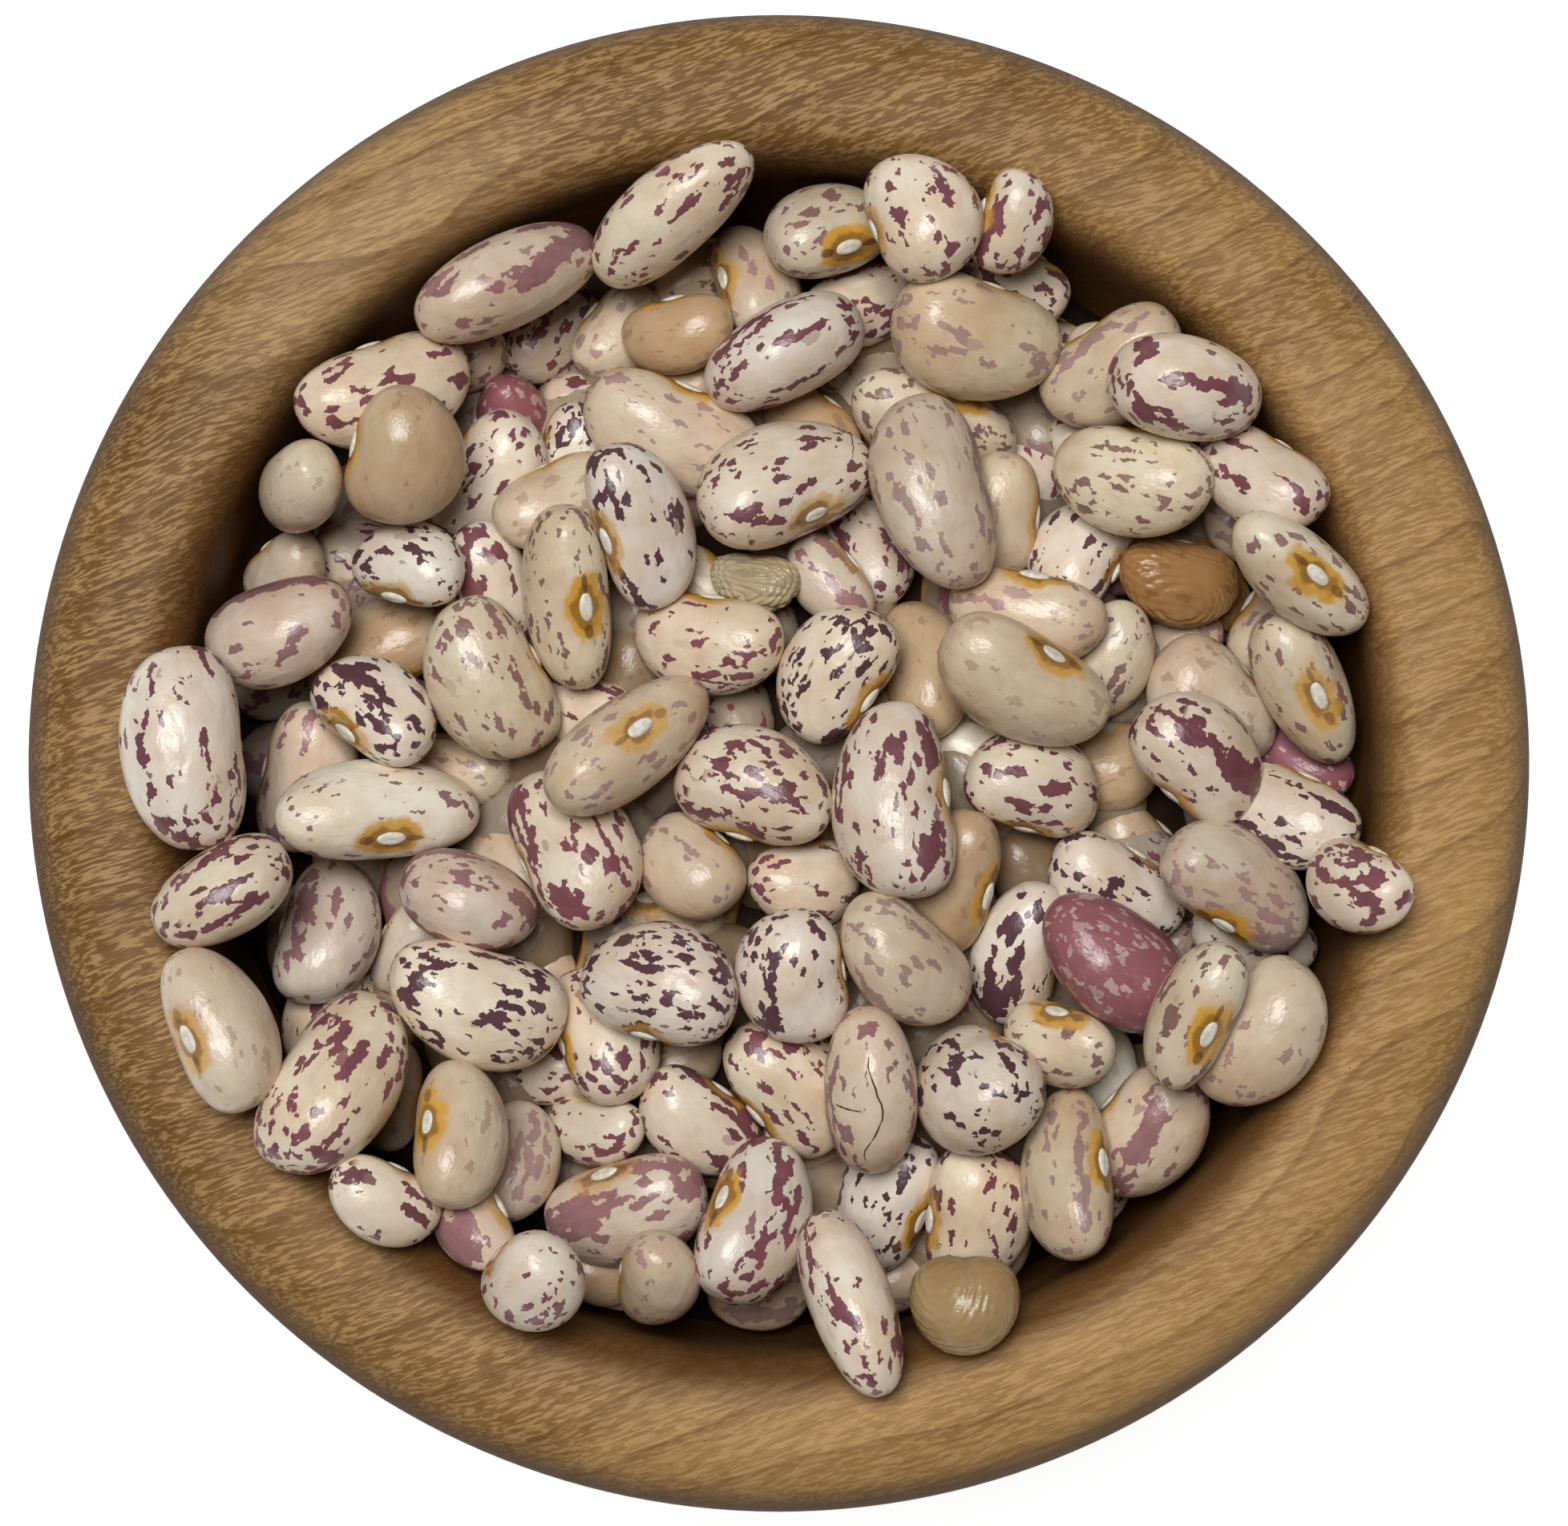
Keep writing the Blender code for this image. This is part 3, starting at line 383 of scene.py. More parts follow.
TOPMOST = [
    (-23.2, 41.6, 30, 17.8, 7.7, -90, 0, "rose"), (-10.0, 45.9, 37, 17.2, 7.4, -90, 0, "speckled"),
    (-32.4, 25.6, 75, 11.8, 9.8, 10, 0, "tan"), (-41.6, 22.9, 10, 12, 7.6, 0, 45, "plain"),
    (4.1, 46.1, 200, 11, 8.6, 35, 0, "flecked"), (13.7, 44.2, 112, 12, 9.6, 5, 0, "speckled"),
    (-9.0, 27.3, -22, 15.8, 9.6, 15, 0, "faded"), (0.4, 34.0, 28, 14.6, 8, -90, 0, "streaked"),
    (16.6, 34.9, -14, 15, 10.4, 12, 0, "faded"), (31.3, 23.2, -15, 14.2, 9.3, 0, 0, "flecked"),
    (34.2, 29.6, -8, 13.2, 9.1, -60, 0, "banded"), (44.4, 6.4, -62, 14.6, 7.2, 85, 0, "flecked"),
    (43.8, 15.3, -38, 14.4, 7.0, 85, 0, "flecked"), (35.2, -0.4, 141, 12.6, 9.2, 5, 0, "banded"),
    (39.0, -10.5, 147, 14.6, 8.8, 25, 0, "faded"), (48.5, -11.8, -35, 11.5, 7.4, 0, 40, "streaked"),
    (21.0, 11.0, -12, 13.6, 8.2, 25, 0, "faded"), (20.2, 5.0, -27, 15.8, 9, 45, 0, "plain"),
    (28.1, -18.1, -37, 15, 9.4, -60, 0, "maroon"), (9.6, -5.4, 274, 16.6, 10.2, 0, 0, "speckled"),
    (-2.3, -3.3, 162, 14, 9.7, 0, 0, "banded"), (-6.7, 9.2, -12, 13.6, 8.6, -5, 0, "speckled"),
    (5.0, 6.3, 235, 12.4, 9, 20, 0, "dark"), (-24.7, 5.8, 295, 14.2, 9.9, -20, 0, "flecked"),
    (-17.4, 13.3, 275, 15.9, 7.4, 65, 0, "flecked"), (0.0, 22.8, 205, 16.4, 10.2, 35, 0, "speckled"),
    (13.0, 21.8, 285, 17.2, 9.8, -30, 0, "faded"), (-11.8, 18.2, 110, 14.4, 8.3, 30, 0, "dark"),
    (-30.9, 15.6, 165, 10, 7.4, 20, 0, "dark"), (-42.6, 10.2, 17, 13.6, 9, -50, 0, "rose"),
    (-33.6, 3.4, 142, 12, 8, 30, 0, "dark"), (-49.0, -1.2, 277, 17, 10.4, -10, 0, "banded"),
    (-33.5, -5.8, 185, 17.8, 9.2, 35, 0, "white"), (-46.6, -12.4, 32, 12.5, 7.8, -60, 20, "streaked"),
    (-26.4, -13.6, -18, 12, 8.2, -60, 0, "rose"), (-16.8, -7.9, 118, 15.2, 10.2, 3, 0, "banded"),
    (-11.6, 0.8, 38, 17, 8, 88, 0, "faded"), (1.2, -19.3, 280, 11.4, 9.5, 5, 0, "dark"),
    (-9.9, -20.2, 168, 13.9, 10.3, 12, 0, "dark"), (10.6, -17.2, -42, 13.4, 8.6, -40, 0, "faded"),
    (-35.9, -27.0, 62, 17, 10.2, -30, 0, "speckled"), (-27.0, -32.6, 88, 12.6, 7.9, 50, 0, "plain"),
    (-27.0, -22.3, -17, 15.6, 10, -20, 0, "dark"), (-45.0, -23.3, 115, 14.2, 8, 70, 0, "plain"),
    (-20.6, -43.4, 45, 11, 8.4, 0, 35, "speckled"), (-3.4, -40.2, 70, 14.6, 9.6, 25, 0, "streaked"),
    (5.2, -45.9, -70, 16.8, 7.0, -90, 0, "banded"), (8.1, -28.3, 92, 14.6, 7.8, -90, 0, "rose"),
    (17.0, -28.6, -30, 12.5, 10.8, 0, 30, "dark"), (24.2, -35.7, 272, 15.2, 7.9, 40, 0, "faded"),
    (35.5, -22.3, 245, 13.2, 7, 65, 0, "flecked"), (23.0, -24.7, -18, 10.6, 6.8, 40, 15, "flecked"),
]
GROUPS = [(LOWEST, 8.5), (MIDDLE, 5.0), (TOPMOST, 0.2)]
PUSHES = 100
PUSH_SHARE = 0.35
LONGEST_PUSH = 0.6
RUB_INWARDS, RUB_UPWARDS, LONGEST_RUB = 0.15, 0.5, 0.3
TOUCH = 0.15
SUNK_IN = 0.3
HOLD = (0.06, 0.06, 0.03)
GROUP_LIFT = 0.6


def heap_height(radius):
    """The heap's surface: its edge height plus a rise that falls off as the square of the radius."""
    return HEAP_EDGE_Z + HEAP_RISE * (1 - (radius / MOUTH_RADIUS) ** 2)


def ring_beans():
    """Beans spread round the wall where the rows have none, each with a random nudge, heading and size."""
    draw = random.Random(RING_SEED)
    coats = itertools.cycle(("faded", "speckled", "plain", "streaked", "rose"))
    beans = []
    for i in range(RING_BEANS):
        angle = 2 * math.pi * (i + draw.uniform(-0.25, 0.25)) / RING_BEANS
        radius = RING_RADIUS + draw.uniform(-1.5, 1.0)
        heading = math.degrees(angle) + draw.uniform(40, 140)
        size = draw.uniform(10, 13)
        x, y = radius * math.cos(angle), radius * math.sin(angle)
        if min(math.dist((x, y), seen[:2]) for seen in LOWEST + MIDDLE) > RING_ROOM:
            beans.append((x, y, heading, size, BREADTH_RATIO * size, 0, 0, next(coats)))
    return beans


def bed_beans(draw):
    """Beans under the ones that show, one every golden angle on a spiral whose turns are evenly spaced."""
    count = int((MOUTH_RADIUS - BED_MARGIN) ** 2 / BED_SPACING**2 * math.pi)
    i = np.arange(count)
    radius = (MOUTH_RADIUS - BED_MARGIN) * np.sqrt((i + 0.5) / count)
    angle = i * math.pi * (3 - math.sqrt(5))
    length = draw.uniform(11, 14, count)
    coats = draw.choice(("faded", "speckled", "plain", "tan", "rose"), count)
    rows = zip(radius * np.cos(angle), radius * np.sin(angle), draw.uniform(0, 360, count), length, coats)
    return [(x, y, turn, size, BREADTH_RATIO * size, 0, 0, str(coat)) for x, y, turn, size, coat in rows]


def bean_points(half_sizes, along, around):
    """A kidney form along X, its eye side at +Y.

    x is minus the half length times the cosine of the turn along. The girth is the sine of that turn to the
    power of the ends' bluntness, times cosine and sine of the turn around. The ends bend towards the eye by
    the square of x, less a share.
    """
    half_length, half_breadth, half_thickness = half_sizes
    girth = np.sin(along) ** END_BLUNTNESS
    x = -half_length * np.cos(along) * np.ones_like(around)
    bend = BEND * 2 * half_breadth * ((x / half_length) ** 2 - BEND_MIDDLE)
    return np.stack((
        x,
        girth * half_breadth * np.cos(around) + bend,
        girth * half_thickness * np.sin(around),
    ), -1)


def turn_of(heading, rise, roll):
    """The matrix that rolls a bean about its long axis, lifts its head end, and turns it to its heading."""
    ch, sh, cr, sr = math.cos(heading), math.sin(heading), math.cos(rise), math.sin(rise)
    co, so = math.cos(roll), math.sin(roll)
    about_z = np.array(((ch, -sh, 0), (sh, ch, 0), (0, 0, 1)))
    about_y = np.array(((cr, 0, -sr), (0, 1, 0), (sr, 0, cr)))
    about_x = np.array(((1, 0, 0), (0, co, -so), (0, so, co)))
    return about_z @ about_y @ about_x


def settle(seen, depth, axis, bed, wall):
    """Lowers one bean onto the bed, at the tilt and nudge inwards that let it lie lowest.

    A bean whose back would stand above its group's level is eased down towards it, clear of the bowl.
    The bed is then raised by the bean.
    """
    x, y, heading, length, breadth, roll, rise, coat = seen
    middle = np.array((x, y))
    reach = math.hypot(x, y)
    heading, roll, rise = math.radians(heading), math.radians(roll), math.radians(rise)
    broad = breadth / math.hypot(math.cos(roll), THICKNESS_RATIO * math.sin(roll))
    half_sizes = np.array((length, broad, THICKNESS_RATIO * broad)) / 2
    along = np.linspace(SAMPLES_START, math.pi - SAMPLES_START, SAMPLES)[:, None]
    around = np.linspace(0, 2 * math.pi, SAMPLES)[None, :]
    points = bean_points(half_sizes, along, around).reshape(-1, 3)
    best = None
    for rise_tilt, roll_tilt in itertools.product(RISE_TILTS, ROLL_TILTS):
        turn = turn_of(heading, rise + rise_tilt, roll + roll_tilt)
        turned = points @ turn.T
        heights = turned[:, 2]
        for shift in SHIFTS if reach > NEAR_WALL * MOUTH_RADIUS else SHIFTS[:1]:
            place = middle * (1 - shift / reach) if reach else middle
            cells = np.rint((turned[:, :2] + place - axis[0]) / FIELD_STEP).astype(int)
            cells = tuple(np.clip(cells, 0, len(axis) - 1).T)
            level = heap_height(math.hypot(*place)) - depth - heights.max()
            z = (bed[cells] - heights).max() - PRESSED_IN
            z = max(min(z, level + EASE_ABOVE * (z - level)), (wall[cells] - heights).max())
            cost = z + TILT_COST * (abs(rise_tilt) + abs(roll_tilt)) + SHIFT_COST * shift
            if best is None or cost < best[0]:
                best = (cost, (*place, z), turn, heights, cells)
    _, place, turn, heights, cells = best
    np.maximum.at(bed, cells, place[2] + heights)
    return np.array(place), turn, half_sizes, coat


def under_field(cloud, place, axis, field):
    """How far a bean's surface points reach below a height field, and the cells that they cover."""
    cells = np.rint((cloud[:, :2] + place[:2] - axis[0]) / FIELD_STEP).astype(int)
    cells = tuple(np.clip(cells, 0, len(axis) - 1).T)
    return (field[cells] - cloud[:, 2]).max() - place[2], cells


def deepest_inside(points, bean):
    """How deep the deepest of some points lies inside a bean's form, and the way straight out of it."""
    place, turn, (half_length, half_breadth, half_thickness) = bean[:3]
    x, y, z = ((points - place) @ turn).T
    along = np.clip(x / half_length, -1, 1)
    girth = (1 - along**2) ** (END_BLUNTNESS / 2)
    across = (y - BEND * 2 * half_breadth * (along**2 - BEND_MIDDLE)) / half_breadth
    depth = (girth - np.hypot(across, z / half_thickness)) * half_thickness
    depth = np.where(np.abs(x) < half_length, depth, -1)
    k = depth.argmax()
    out = turn @ np.array((x[k] / half_length**2, across[k] / half_breadth, z[k] / half_thickness**2))
    return depth[k], out / (np.linalg.norm(out) + 1e-9)


def push_apart(beans, seen_places, groups, axis, bare_bed, wall):
    """Moves beans that lie in one another apart a little at a time, while each is held near where it is seen.

    From the lowest up, a bean that then hangs free sinks onto what lies under it.
    """
    along = np.linspace(0.15, math.pi - 0.15, 12)[:, None]
    around = np.linspace(0, 2 * math.pi, 16, endpoint=False)[None, :]
    clouds = [bean_points(bean[2], along, around).reshape(-1, 3) @ bean[1].T for bean in beans]
    place = np.array([bean[0] for bean in beans])
    hold_to = np.column_stack((seen_places, place[:, 2]))
    length = np.array([bean[2][0] for bean in beans])
    for _ in range(PUSHES):
        push = np.zeros_like(place)
        apart = np.linalg.norm(place[:, None] - place[None], axis=-1)
        for i, j in zip(*np.nonzero((apart < length[:, None] + length[None]) & (apart > 0))):
            depth, out = deepest_inside(clouds[i] + place[i], (place[j], *beans[j][1:]))
            if depth > TOUCH:
                out[2] += GROUP_LIFT * (groups[i] - groups[j])
                push[i] += PUSH_SHARE * (depth - TOUCH) * out
                push[j] -= PUSH_SHARE * (depth - TOUCH) * out
        place += np.clip(push, -LONGEST_PUSH, LONGEST_PUSH) + HOLD * (hold_to - place)
        for i, cloud in enumerate(clouds):
            rub = max(under_field(cloud, place[i], axis, wall)[0], 0)
            place[i, :2] *= 1 - min(RUB_INWARDS * rub, LONGEST_RUB) / np.hypot(*place[i, :2])
            place[i, 2] += min(RUB_UPWARDS * rub, LONGEST_RUB)
    along = np.linspace(SAMPLES_START, math.pi - SAMPLES_START, SAMPLES)[:, None]
    around = np.linspace(0, 2 * math.pi, SAMPLES)[None, :]
    bed = bare_bed.copy()
    for i in sorted(range(len(place)), key=lambda i: (groups[i], place[i, 2])):
        cloud = bean_points(beans[i][2], along, around).reshape(-1, 3) @ beans[i][1].T
        under, cells = under_field(cloud, place[i], axis, bed)
        place[i, 2] += min(under - SUNK_IN, 0)
        place[i, 2] += max(under_field(cloud, place[i], axis, wall)[0], 0)
        np.maximum.at(bed, cells, place[i, 2] + cloud[:, 2])
    return [(new, *bean[1:]) for new, bean in zip(place, beans)]


def settled_beans():
    """The place, turn, half sizes and coat of the bed's unseen beans, and of the ones that show."""
    axis = np.arange(-FIELD_HALF, FIELD_HALF + FIELD_STEP / 2, FIELD_STEP)
    x, y = np.meshgrid(axis, axis, indexing="ij")
    radius = np.hypot(x, y)
    crest = profile[:, 1].argmax()
    upper = profile[(np.arange(len(profile)) >= crest) | (profile[:, 1] > BOWL_HEIGHT / 2)]
    upper = upper[upper[:, 0].argsort()]
    wall = np.interp(
        np.where(radius < CREST_RADIUS, radius + GAP, radius), upper[:, 0], upper[:, 1]) + GAP
    bare_bed = heap_height(radius) - CORE_DEPTH
    bed = bare_bed.copy()
    hidden = bed_beans(np.random.default_rng(BED_SEED))
    unseen = [settle(seen, BED_DEPTH, axis, bed.copy(), wall) for seen in hidden]
    seen_places, shown, groups = [], [], []
    for number, (group, depth) in enumerate(GROUPS):
        for seen in (ring_beans() if group is LOWEST else []) + group:
            shown.append(settle(seen, depth, axis, bed, wall))
            seen_places.append(seen[:2])
            groups.append(number)
    return unseen, push_apart(shown, seen_places, groups, axis, bare_bed, wall)


unseen_beans, shown_beans = settled_beans()


# The beans' coats
# Thin satin seed coats, from cream to tan, with maroon flecks, streaks and blotches that run lengthwise.
# All share one shader, which reads each bean's own form, ground, ink and amounts of each marking.
CREAM, BEIGE, TAN = (237, 221, 200), (219, 198, 172), (202, 173, 139)
MAROON, PLUM, ROSE, FAINT = (127, 66, 81), (92, 52, 66), (150, 90, 104), (156, 110, 122)

# Ground colour, ink colour, amounts of flecks, streaks and blotches, how solid the ink is, how strong the
# halo round the eye is, and how evenly the flecks lie
COATS = {
    "speckled": (CREAM, MAROON, 0.6, 0.25, 0.1, 0.95, 0.9, 0.0),
    "streaked": (CREAM, MAROON, 0.4, 0.9, 0.25, 0.95, 0.8, 0.0),
    "banded": (CREAM, MAROON, 0.35, 0.45, 0.9, 0.95, 0.7, 0.0),
    "faded": (BEIGE, FAINT, 0.3, 0.4, 0.35, 0.65, 1.0, 0.2),
    "flecked": ((230, 213, 186), (134, 88, 90), 0.45, 0.15, 0.05, 0.85, 1.0, 0.2),
    "plain": (BEIGE, (164, 122, 108), 0.22, 0.0, 0.0, 0.45, 1.0, 0.3),
    "tan": (TAN, (146, 106, 80), 0.2, 0.0, 0.0, 0.4, 1.0, 0.3),
    "rose": ((224, 203, 182), ROSE, 0.18, 0.85, 0.75, 0.8, 0.7, 0.0),
    "dark": ((239, 225, 208), PLUM, 0.6, 0.3, 0.2, 0.97, 0.9, 0.1),
    "white": ((246, 236, 215), MAROON, 0.25, 0.2, 0.0, 0.85, 0.8, 0.1),
    "maroon": ((154, 96, 105), (226, 194, 186), 0.4, 0.0, 0.0, 0.8, 0.0, 1.0),
    "amber": ((170, 128, 79), (112, 78, 42), 0.1, 0.3, 0.1, 0.4, 0.3, 0.0),
    "pea": ((176, 148, 105), (128, 98, 64), 0.0, 0.3, 0.0, 0.4, 0.0, 0.0),
    "husk": ((244, 240, 220), (206, 198, 170), 0.0, 0.2, 0.0, 0.5, 0.0, 0.0),
    "split": ((190, 178, 150), (150, 132, 104), 0.2, 0.3, 0.2, 0.5, 0.0, 0.0),
}


def read(tree, name, output="Color"):
    """A value that the mesh carries under this name."""
    return node(tree, "ShaderNodeAttribute", {}, attribute_name=name).outputs[output]


def mark_cells(tree, place, size):
    """Angular cells of about this size, stretched lengthwise: each one's random numbers and its middle."""
    stretched = scaled(tree, place, 0.45, 1, 1)
    cells = node(tree, "ShaderNodeTexVoronoi", {"Vector": stretched, "Scale": 1 / size})
    drawn = node(tree, "ShaderNodeSeparateColor", {0: cells.outputs["Color"]})
    return drawn.outputs, cells.outputs["Position"]


def above(tree, value, edge, amount, drop, softness):
    """A step from 0 to 1 where a value passes an edge that the amount lowers. It stays 0 for no amount."""
    edge = sums(tree, "SUBTRACT", edge, times(tree, amount, drop))
    passed = step(tree, sums(tree, "SUBTRACT", value, edge), 0.0, softness)
    return times(tree, passed, step(tree, amount, 0.0, 0.04))


def coat_material():
    """A seed coat: angular marks over a mottled ground, and a halo with a dark rim round the eye.

    A mark is a cell that is inked where its random number is below a chance. The chance is made by noises at
    the cell's middle: flecks come in clusters or more evenly, streaks run lengthwise, and blotches cover a
    part of the bean. Fine wrinkles and shallow dents catch the light.
    """
    material, tree, shader = new_material("bean_coat_speckled")
    marks = read(tree, "marks", "Vector")
    form = node(tree, "ShaderNodeSeparateXYZ", {0: read(tree, "form", "Vector")})
    x, y, z = form.outputs
    amounts = node(tree, "ShaderNodeSeparateColor", {0: read(tree, "amounts")})
    flecks, streaks, blotches = amounts.outputs
    solid = read(tree, "amounts", "Alpha")
    halo_strength = read(tree, "ground", "Alpha")
    evenness = read(tree, "ink", "Alpha")

    ragged = strayed(tree, marks, 1.7, 1.5, 0.7)
    drawn, middle = mark_cells(tree, ragged, 0.64)
    cluster = noise(tree, middle, 0.34, 1.0)
    outwards = step(tree, sums(tree, "ABSOLUTE", x), 3.0, 7.0)
    cluster = sums(tree, "ADD", cluster, times(tree, outwards, 0.06))
    clustered = times(tree, flecks, step(tree, cluster, 0.42, 0.72))
    clustered = times(tree, clustered, sums(tree, "SUBTRACT", 0.72, times(tree, evenness, 0.6)))
    spread = times(tree, flecks, sums(tree, "ADD", 0.05, times(tree, evenness, 0.12)))
    fleck_chance = sums(tree, "ADD", clustered, spread)
    long = noise(tree, scaled(tree, middle, 0.18, 1, 1), 0.46, 2.0)
    streak_chance = above(tree, long, 0.68, streaks, 0.12, 0.05)
    broad = noise(tree, scaled(tree, middle, 0.3, 1, 1), 0.3, 2.0)
    blotch_chance = above(tree, broad, 0.68, blotches, 0.13, 0.03)
    chance = sums(tree, "MAXIMUM", streak_chance, blotch_chance)
    chance = sums(tree, "MAXIMUM", fleck_chance, times(tree, chance, 0.94))
    inked = step(tree, sums(tree, "SUBTRACT", chance, drawn[0]), 0.0, 0.01)
    specks, speck_middle = mark_cells(tree, ragged, 0.34)
    speck_chance = times(tree, step(tree, noise(tree, speck_middle, 0.4, 1.0), 0.45, 0.8), 0.35)
    speck_chance = sums(tree, "ADD", speck_chance, times(tree, evenness, 0.2))
    speck_chance = times(tree, flecks, speck_chance)
    specked = step(tree, sums(tree, "SUBTRACT", speck_chance, specks[0]), 0.0, 0.01)
    ink_share = times(tree, sums(tree, "MAXIMUM", inked, specked), solid)

    ground = read(tree, "ground")
    tones = noise(tree, marks, 0.13, 2.0, 0.6)
    warmer, cooler, browner = (0.9, 0.82, 0.74, 1), (1.03, 1.09, 1.08, 1), (0.86, 0.76, 0.68, 1)
    ground = blend(tree, step(tree, tones, 0.42, 0.68), ground, warmer, "MULTIPLY")
    ground = blend(tree, step(tree, tones, 0.5, 0.3), ground, cooler, "MULTIPLY")
    mottle = noise(tree, scaled(tree, marks, 0.6, 1, 1), 0.8, 3.0, 0.6)
    ground = blend(tree, times(tree, step(tree, mottle, 0.4, 0.75), 0.5), ground, browner, "MULTIPLY")
    haze = times(tree, sums(tree, "MAXIMUM", fleck_chance, chance), 0.1)
    ink = read(tree, "ink")
    ink = blend(tree, times(tree, drawn[1], 0.3), ink, colour(70, 36, 46), "MULTIPLY")
    skin = blend(tree, haze, ground, ink)
    skin = blend(tree, ink_share, skin, ink)

    edge_noise = times(tree, sums(tree, "SUBTRACT", noise(tree, marks, 0.55, 3.0), 0.5), 1.1)
    wide = sums(tree, "POWER", sums(tree, "DIVIDE", x, 3.1), 2.0)
    tall = sums(tree, "POWER", sums(tree, "DIVIDE", z, 1.8), 2.0)
    ring = sums(tree, "ADD", sums(tree, "SQRT", sums(tree, "ADD", wide, tall)), edge_noise)
    facing = step(tree, y, 0.6, 1.8)
    halo = times(tree, times(tree, step(tree, ring, 1.12, 0.8), facing), halo_strength)
    skin = blend(tree, halo, skin, colour(216, 164, 68))
    rim = times(tree, step(tree, ring, 0.72, 0.5), facing)
    skin = blend(tree, times(tree, rim, 0.65), skin, colour(122, 76, 38))
    for middle_x, reach_x, reach_z in ((2.2, 0.7, 0.45), (-2.1, 0.9, 0.3)):
        bump_x = sums(tree, "POWER", sums(tree, "DIVIDE", sums(tree, "SUBTRACT", x, middle_x), reach_x), 2.0)
        bump_z = sums(tree, "POWER", sums(tree, "DIVIDE", z, reach_z), 2.0)
        bump_ring = sums(tree, "ADD", sums(tree, "ADD", bump_x, bump_z), edge_noise)
        spot = times(tree, step(tree, bump_ring, 1.2, 0.5), times(tree, facing, halo_strength))
        skin = blend(tree, times(tree, spot, 0.65), skin, colour(94, 58, 44))

    wrinkles = noise(tree, scaled(tree, marks, 0.6, 1, 1), 0.9, 3.0, 0.6)
    dents = times(tree, noise(tree, marks, 0.28, 1.0), 2.6)
    relief = sums(tree, "ADD", wrinkles, dents)
    bump = node(tree, "ShaderNodeBump", {"Height": relief, "Strength": 0.4, "Distance": 0.0003}).outputs[0]
    plug(tree, shader, {"Base Color": skin, "Roughness": 0.3, "Specular IOR Level": 0.5, "Normal": bump})
    return material


BEAN_RINGS, BEAN_SIDES = 34, 32
UNDER_RINGS, UNDER_SIDES = 18, 16
# The hidden beans' ground is halved: painted shade for the gaps between the beans that show.
UNDER_PAINTED_SHADE = 0.5
UNDER_SEED, COAT_SEED = 40, 50
POLE_TURN, POLE_REACH = 0.06, 0.02
NOTCH_LENGTH, NOTCH_DEPTH = 0.3, 0.09
LUMP_HEIGHT = 0.034
FOLDS = {"amber": 1.8, "pea": 1.2, "split": 5.0}
FOLD_BEND, FOLD_LEVEL = 8, 0.6
FOLDED_FINENESS = 4


def carve(points, half_sizes, crumple, draw):
    """A real bean's unevenness: one end fuller, both blunt or tapered, a notch at the eye and low lumps.

    The girth is scaled by one plus a taper times x, and by a small power of one less the square of x. The
    notch is a bell curve of x times the square of the facing towards the eye. The lumps are the mean of three
    sines of the coordinates, with random waves and starts. A shrivelled bean has folds too, from the sizes of
    faster sines that the lumps bend.
    """
    unit = points / half_sizes
    each = (len(points), 1, 1)
    taper = 1 + draw.uniform(-0.1, 0.1, each) * unit[..., 0]
    taper = taper * np.clip(1 - unit[..., 0] ** 2, 0.004, 1) ** draw.uniform(-0.05, 0.05, each)
    notch_x = np.exp(-((unit[..., 0] / NOTCH_LENGTH) ** 2))
    facing = np.clip(unit[..., 1], 0, 1) ** 2
    notch = 1 - NOTCH_DEPTH * notch_x * facing
    waves = draw.uniform(1.0, 2.6, (3, *each, 3)) * draw.choice((-1, 1), (3, *each, 3))
    starts = draw.uniform(0, 2 * math.pi, (3, *each))
    lumps = np.sin((waves * unit).sum(-1) + starts).mean(0)
    if crumple:
        waves = draw.uniform(5.0, 12.0, (3, *each, 3)) * draw.choice((-1, 1), (3, *each, 3))
        waves = waves * (0.3, 1.0, 1.0)
        starts = draw.uniform(0, 6, (3, *each))
        folds = np.abs(np.sin((waves * unit).sum(-1) + starts + FOLD_BEND * lumps))
        lumps = lumps + crumple * (folds.mean(0) - FOLD_LEVEL)
    girth = taper * notch * (1 + LUMP_HEIGHT * lumps)
    return points * np.stack((1 + 0.5 * LUMP_HEIGHT * lumps, girth, girth), -1)


def laid(chosen, local, poles):
    """Rings of points and poles turned and moved from each bean's own axes to where it settled."""
    place, turn = (np.array([bean[k] for bean in chosen]) for k in range(2))
    world = np.einsum("nij,nrsj->nrsi", turn, local) + place[:, None, None]
    return world, np.einsum("nij,npj->npi", turn, poles) + place[:, None]


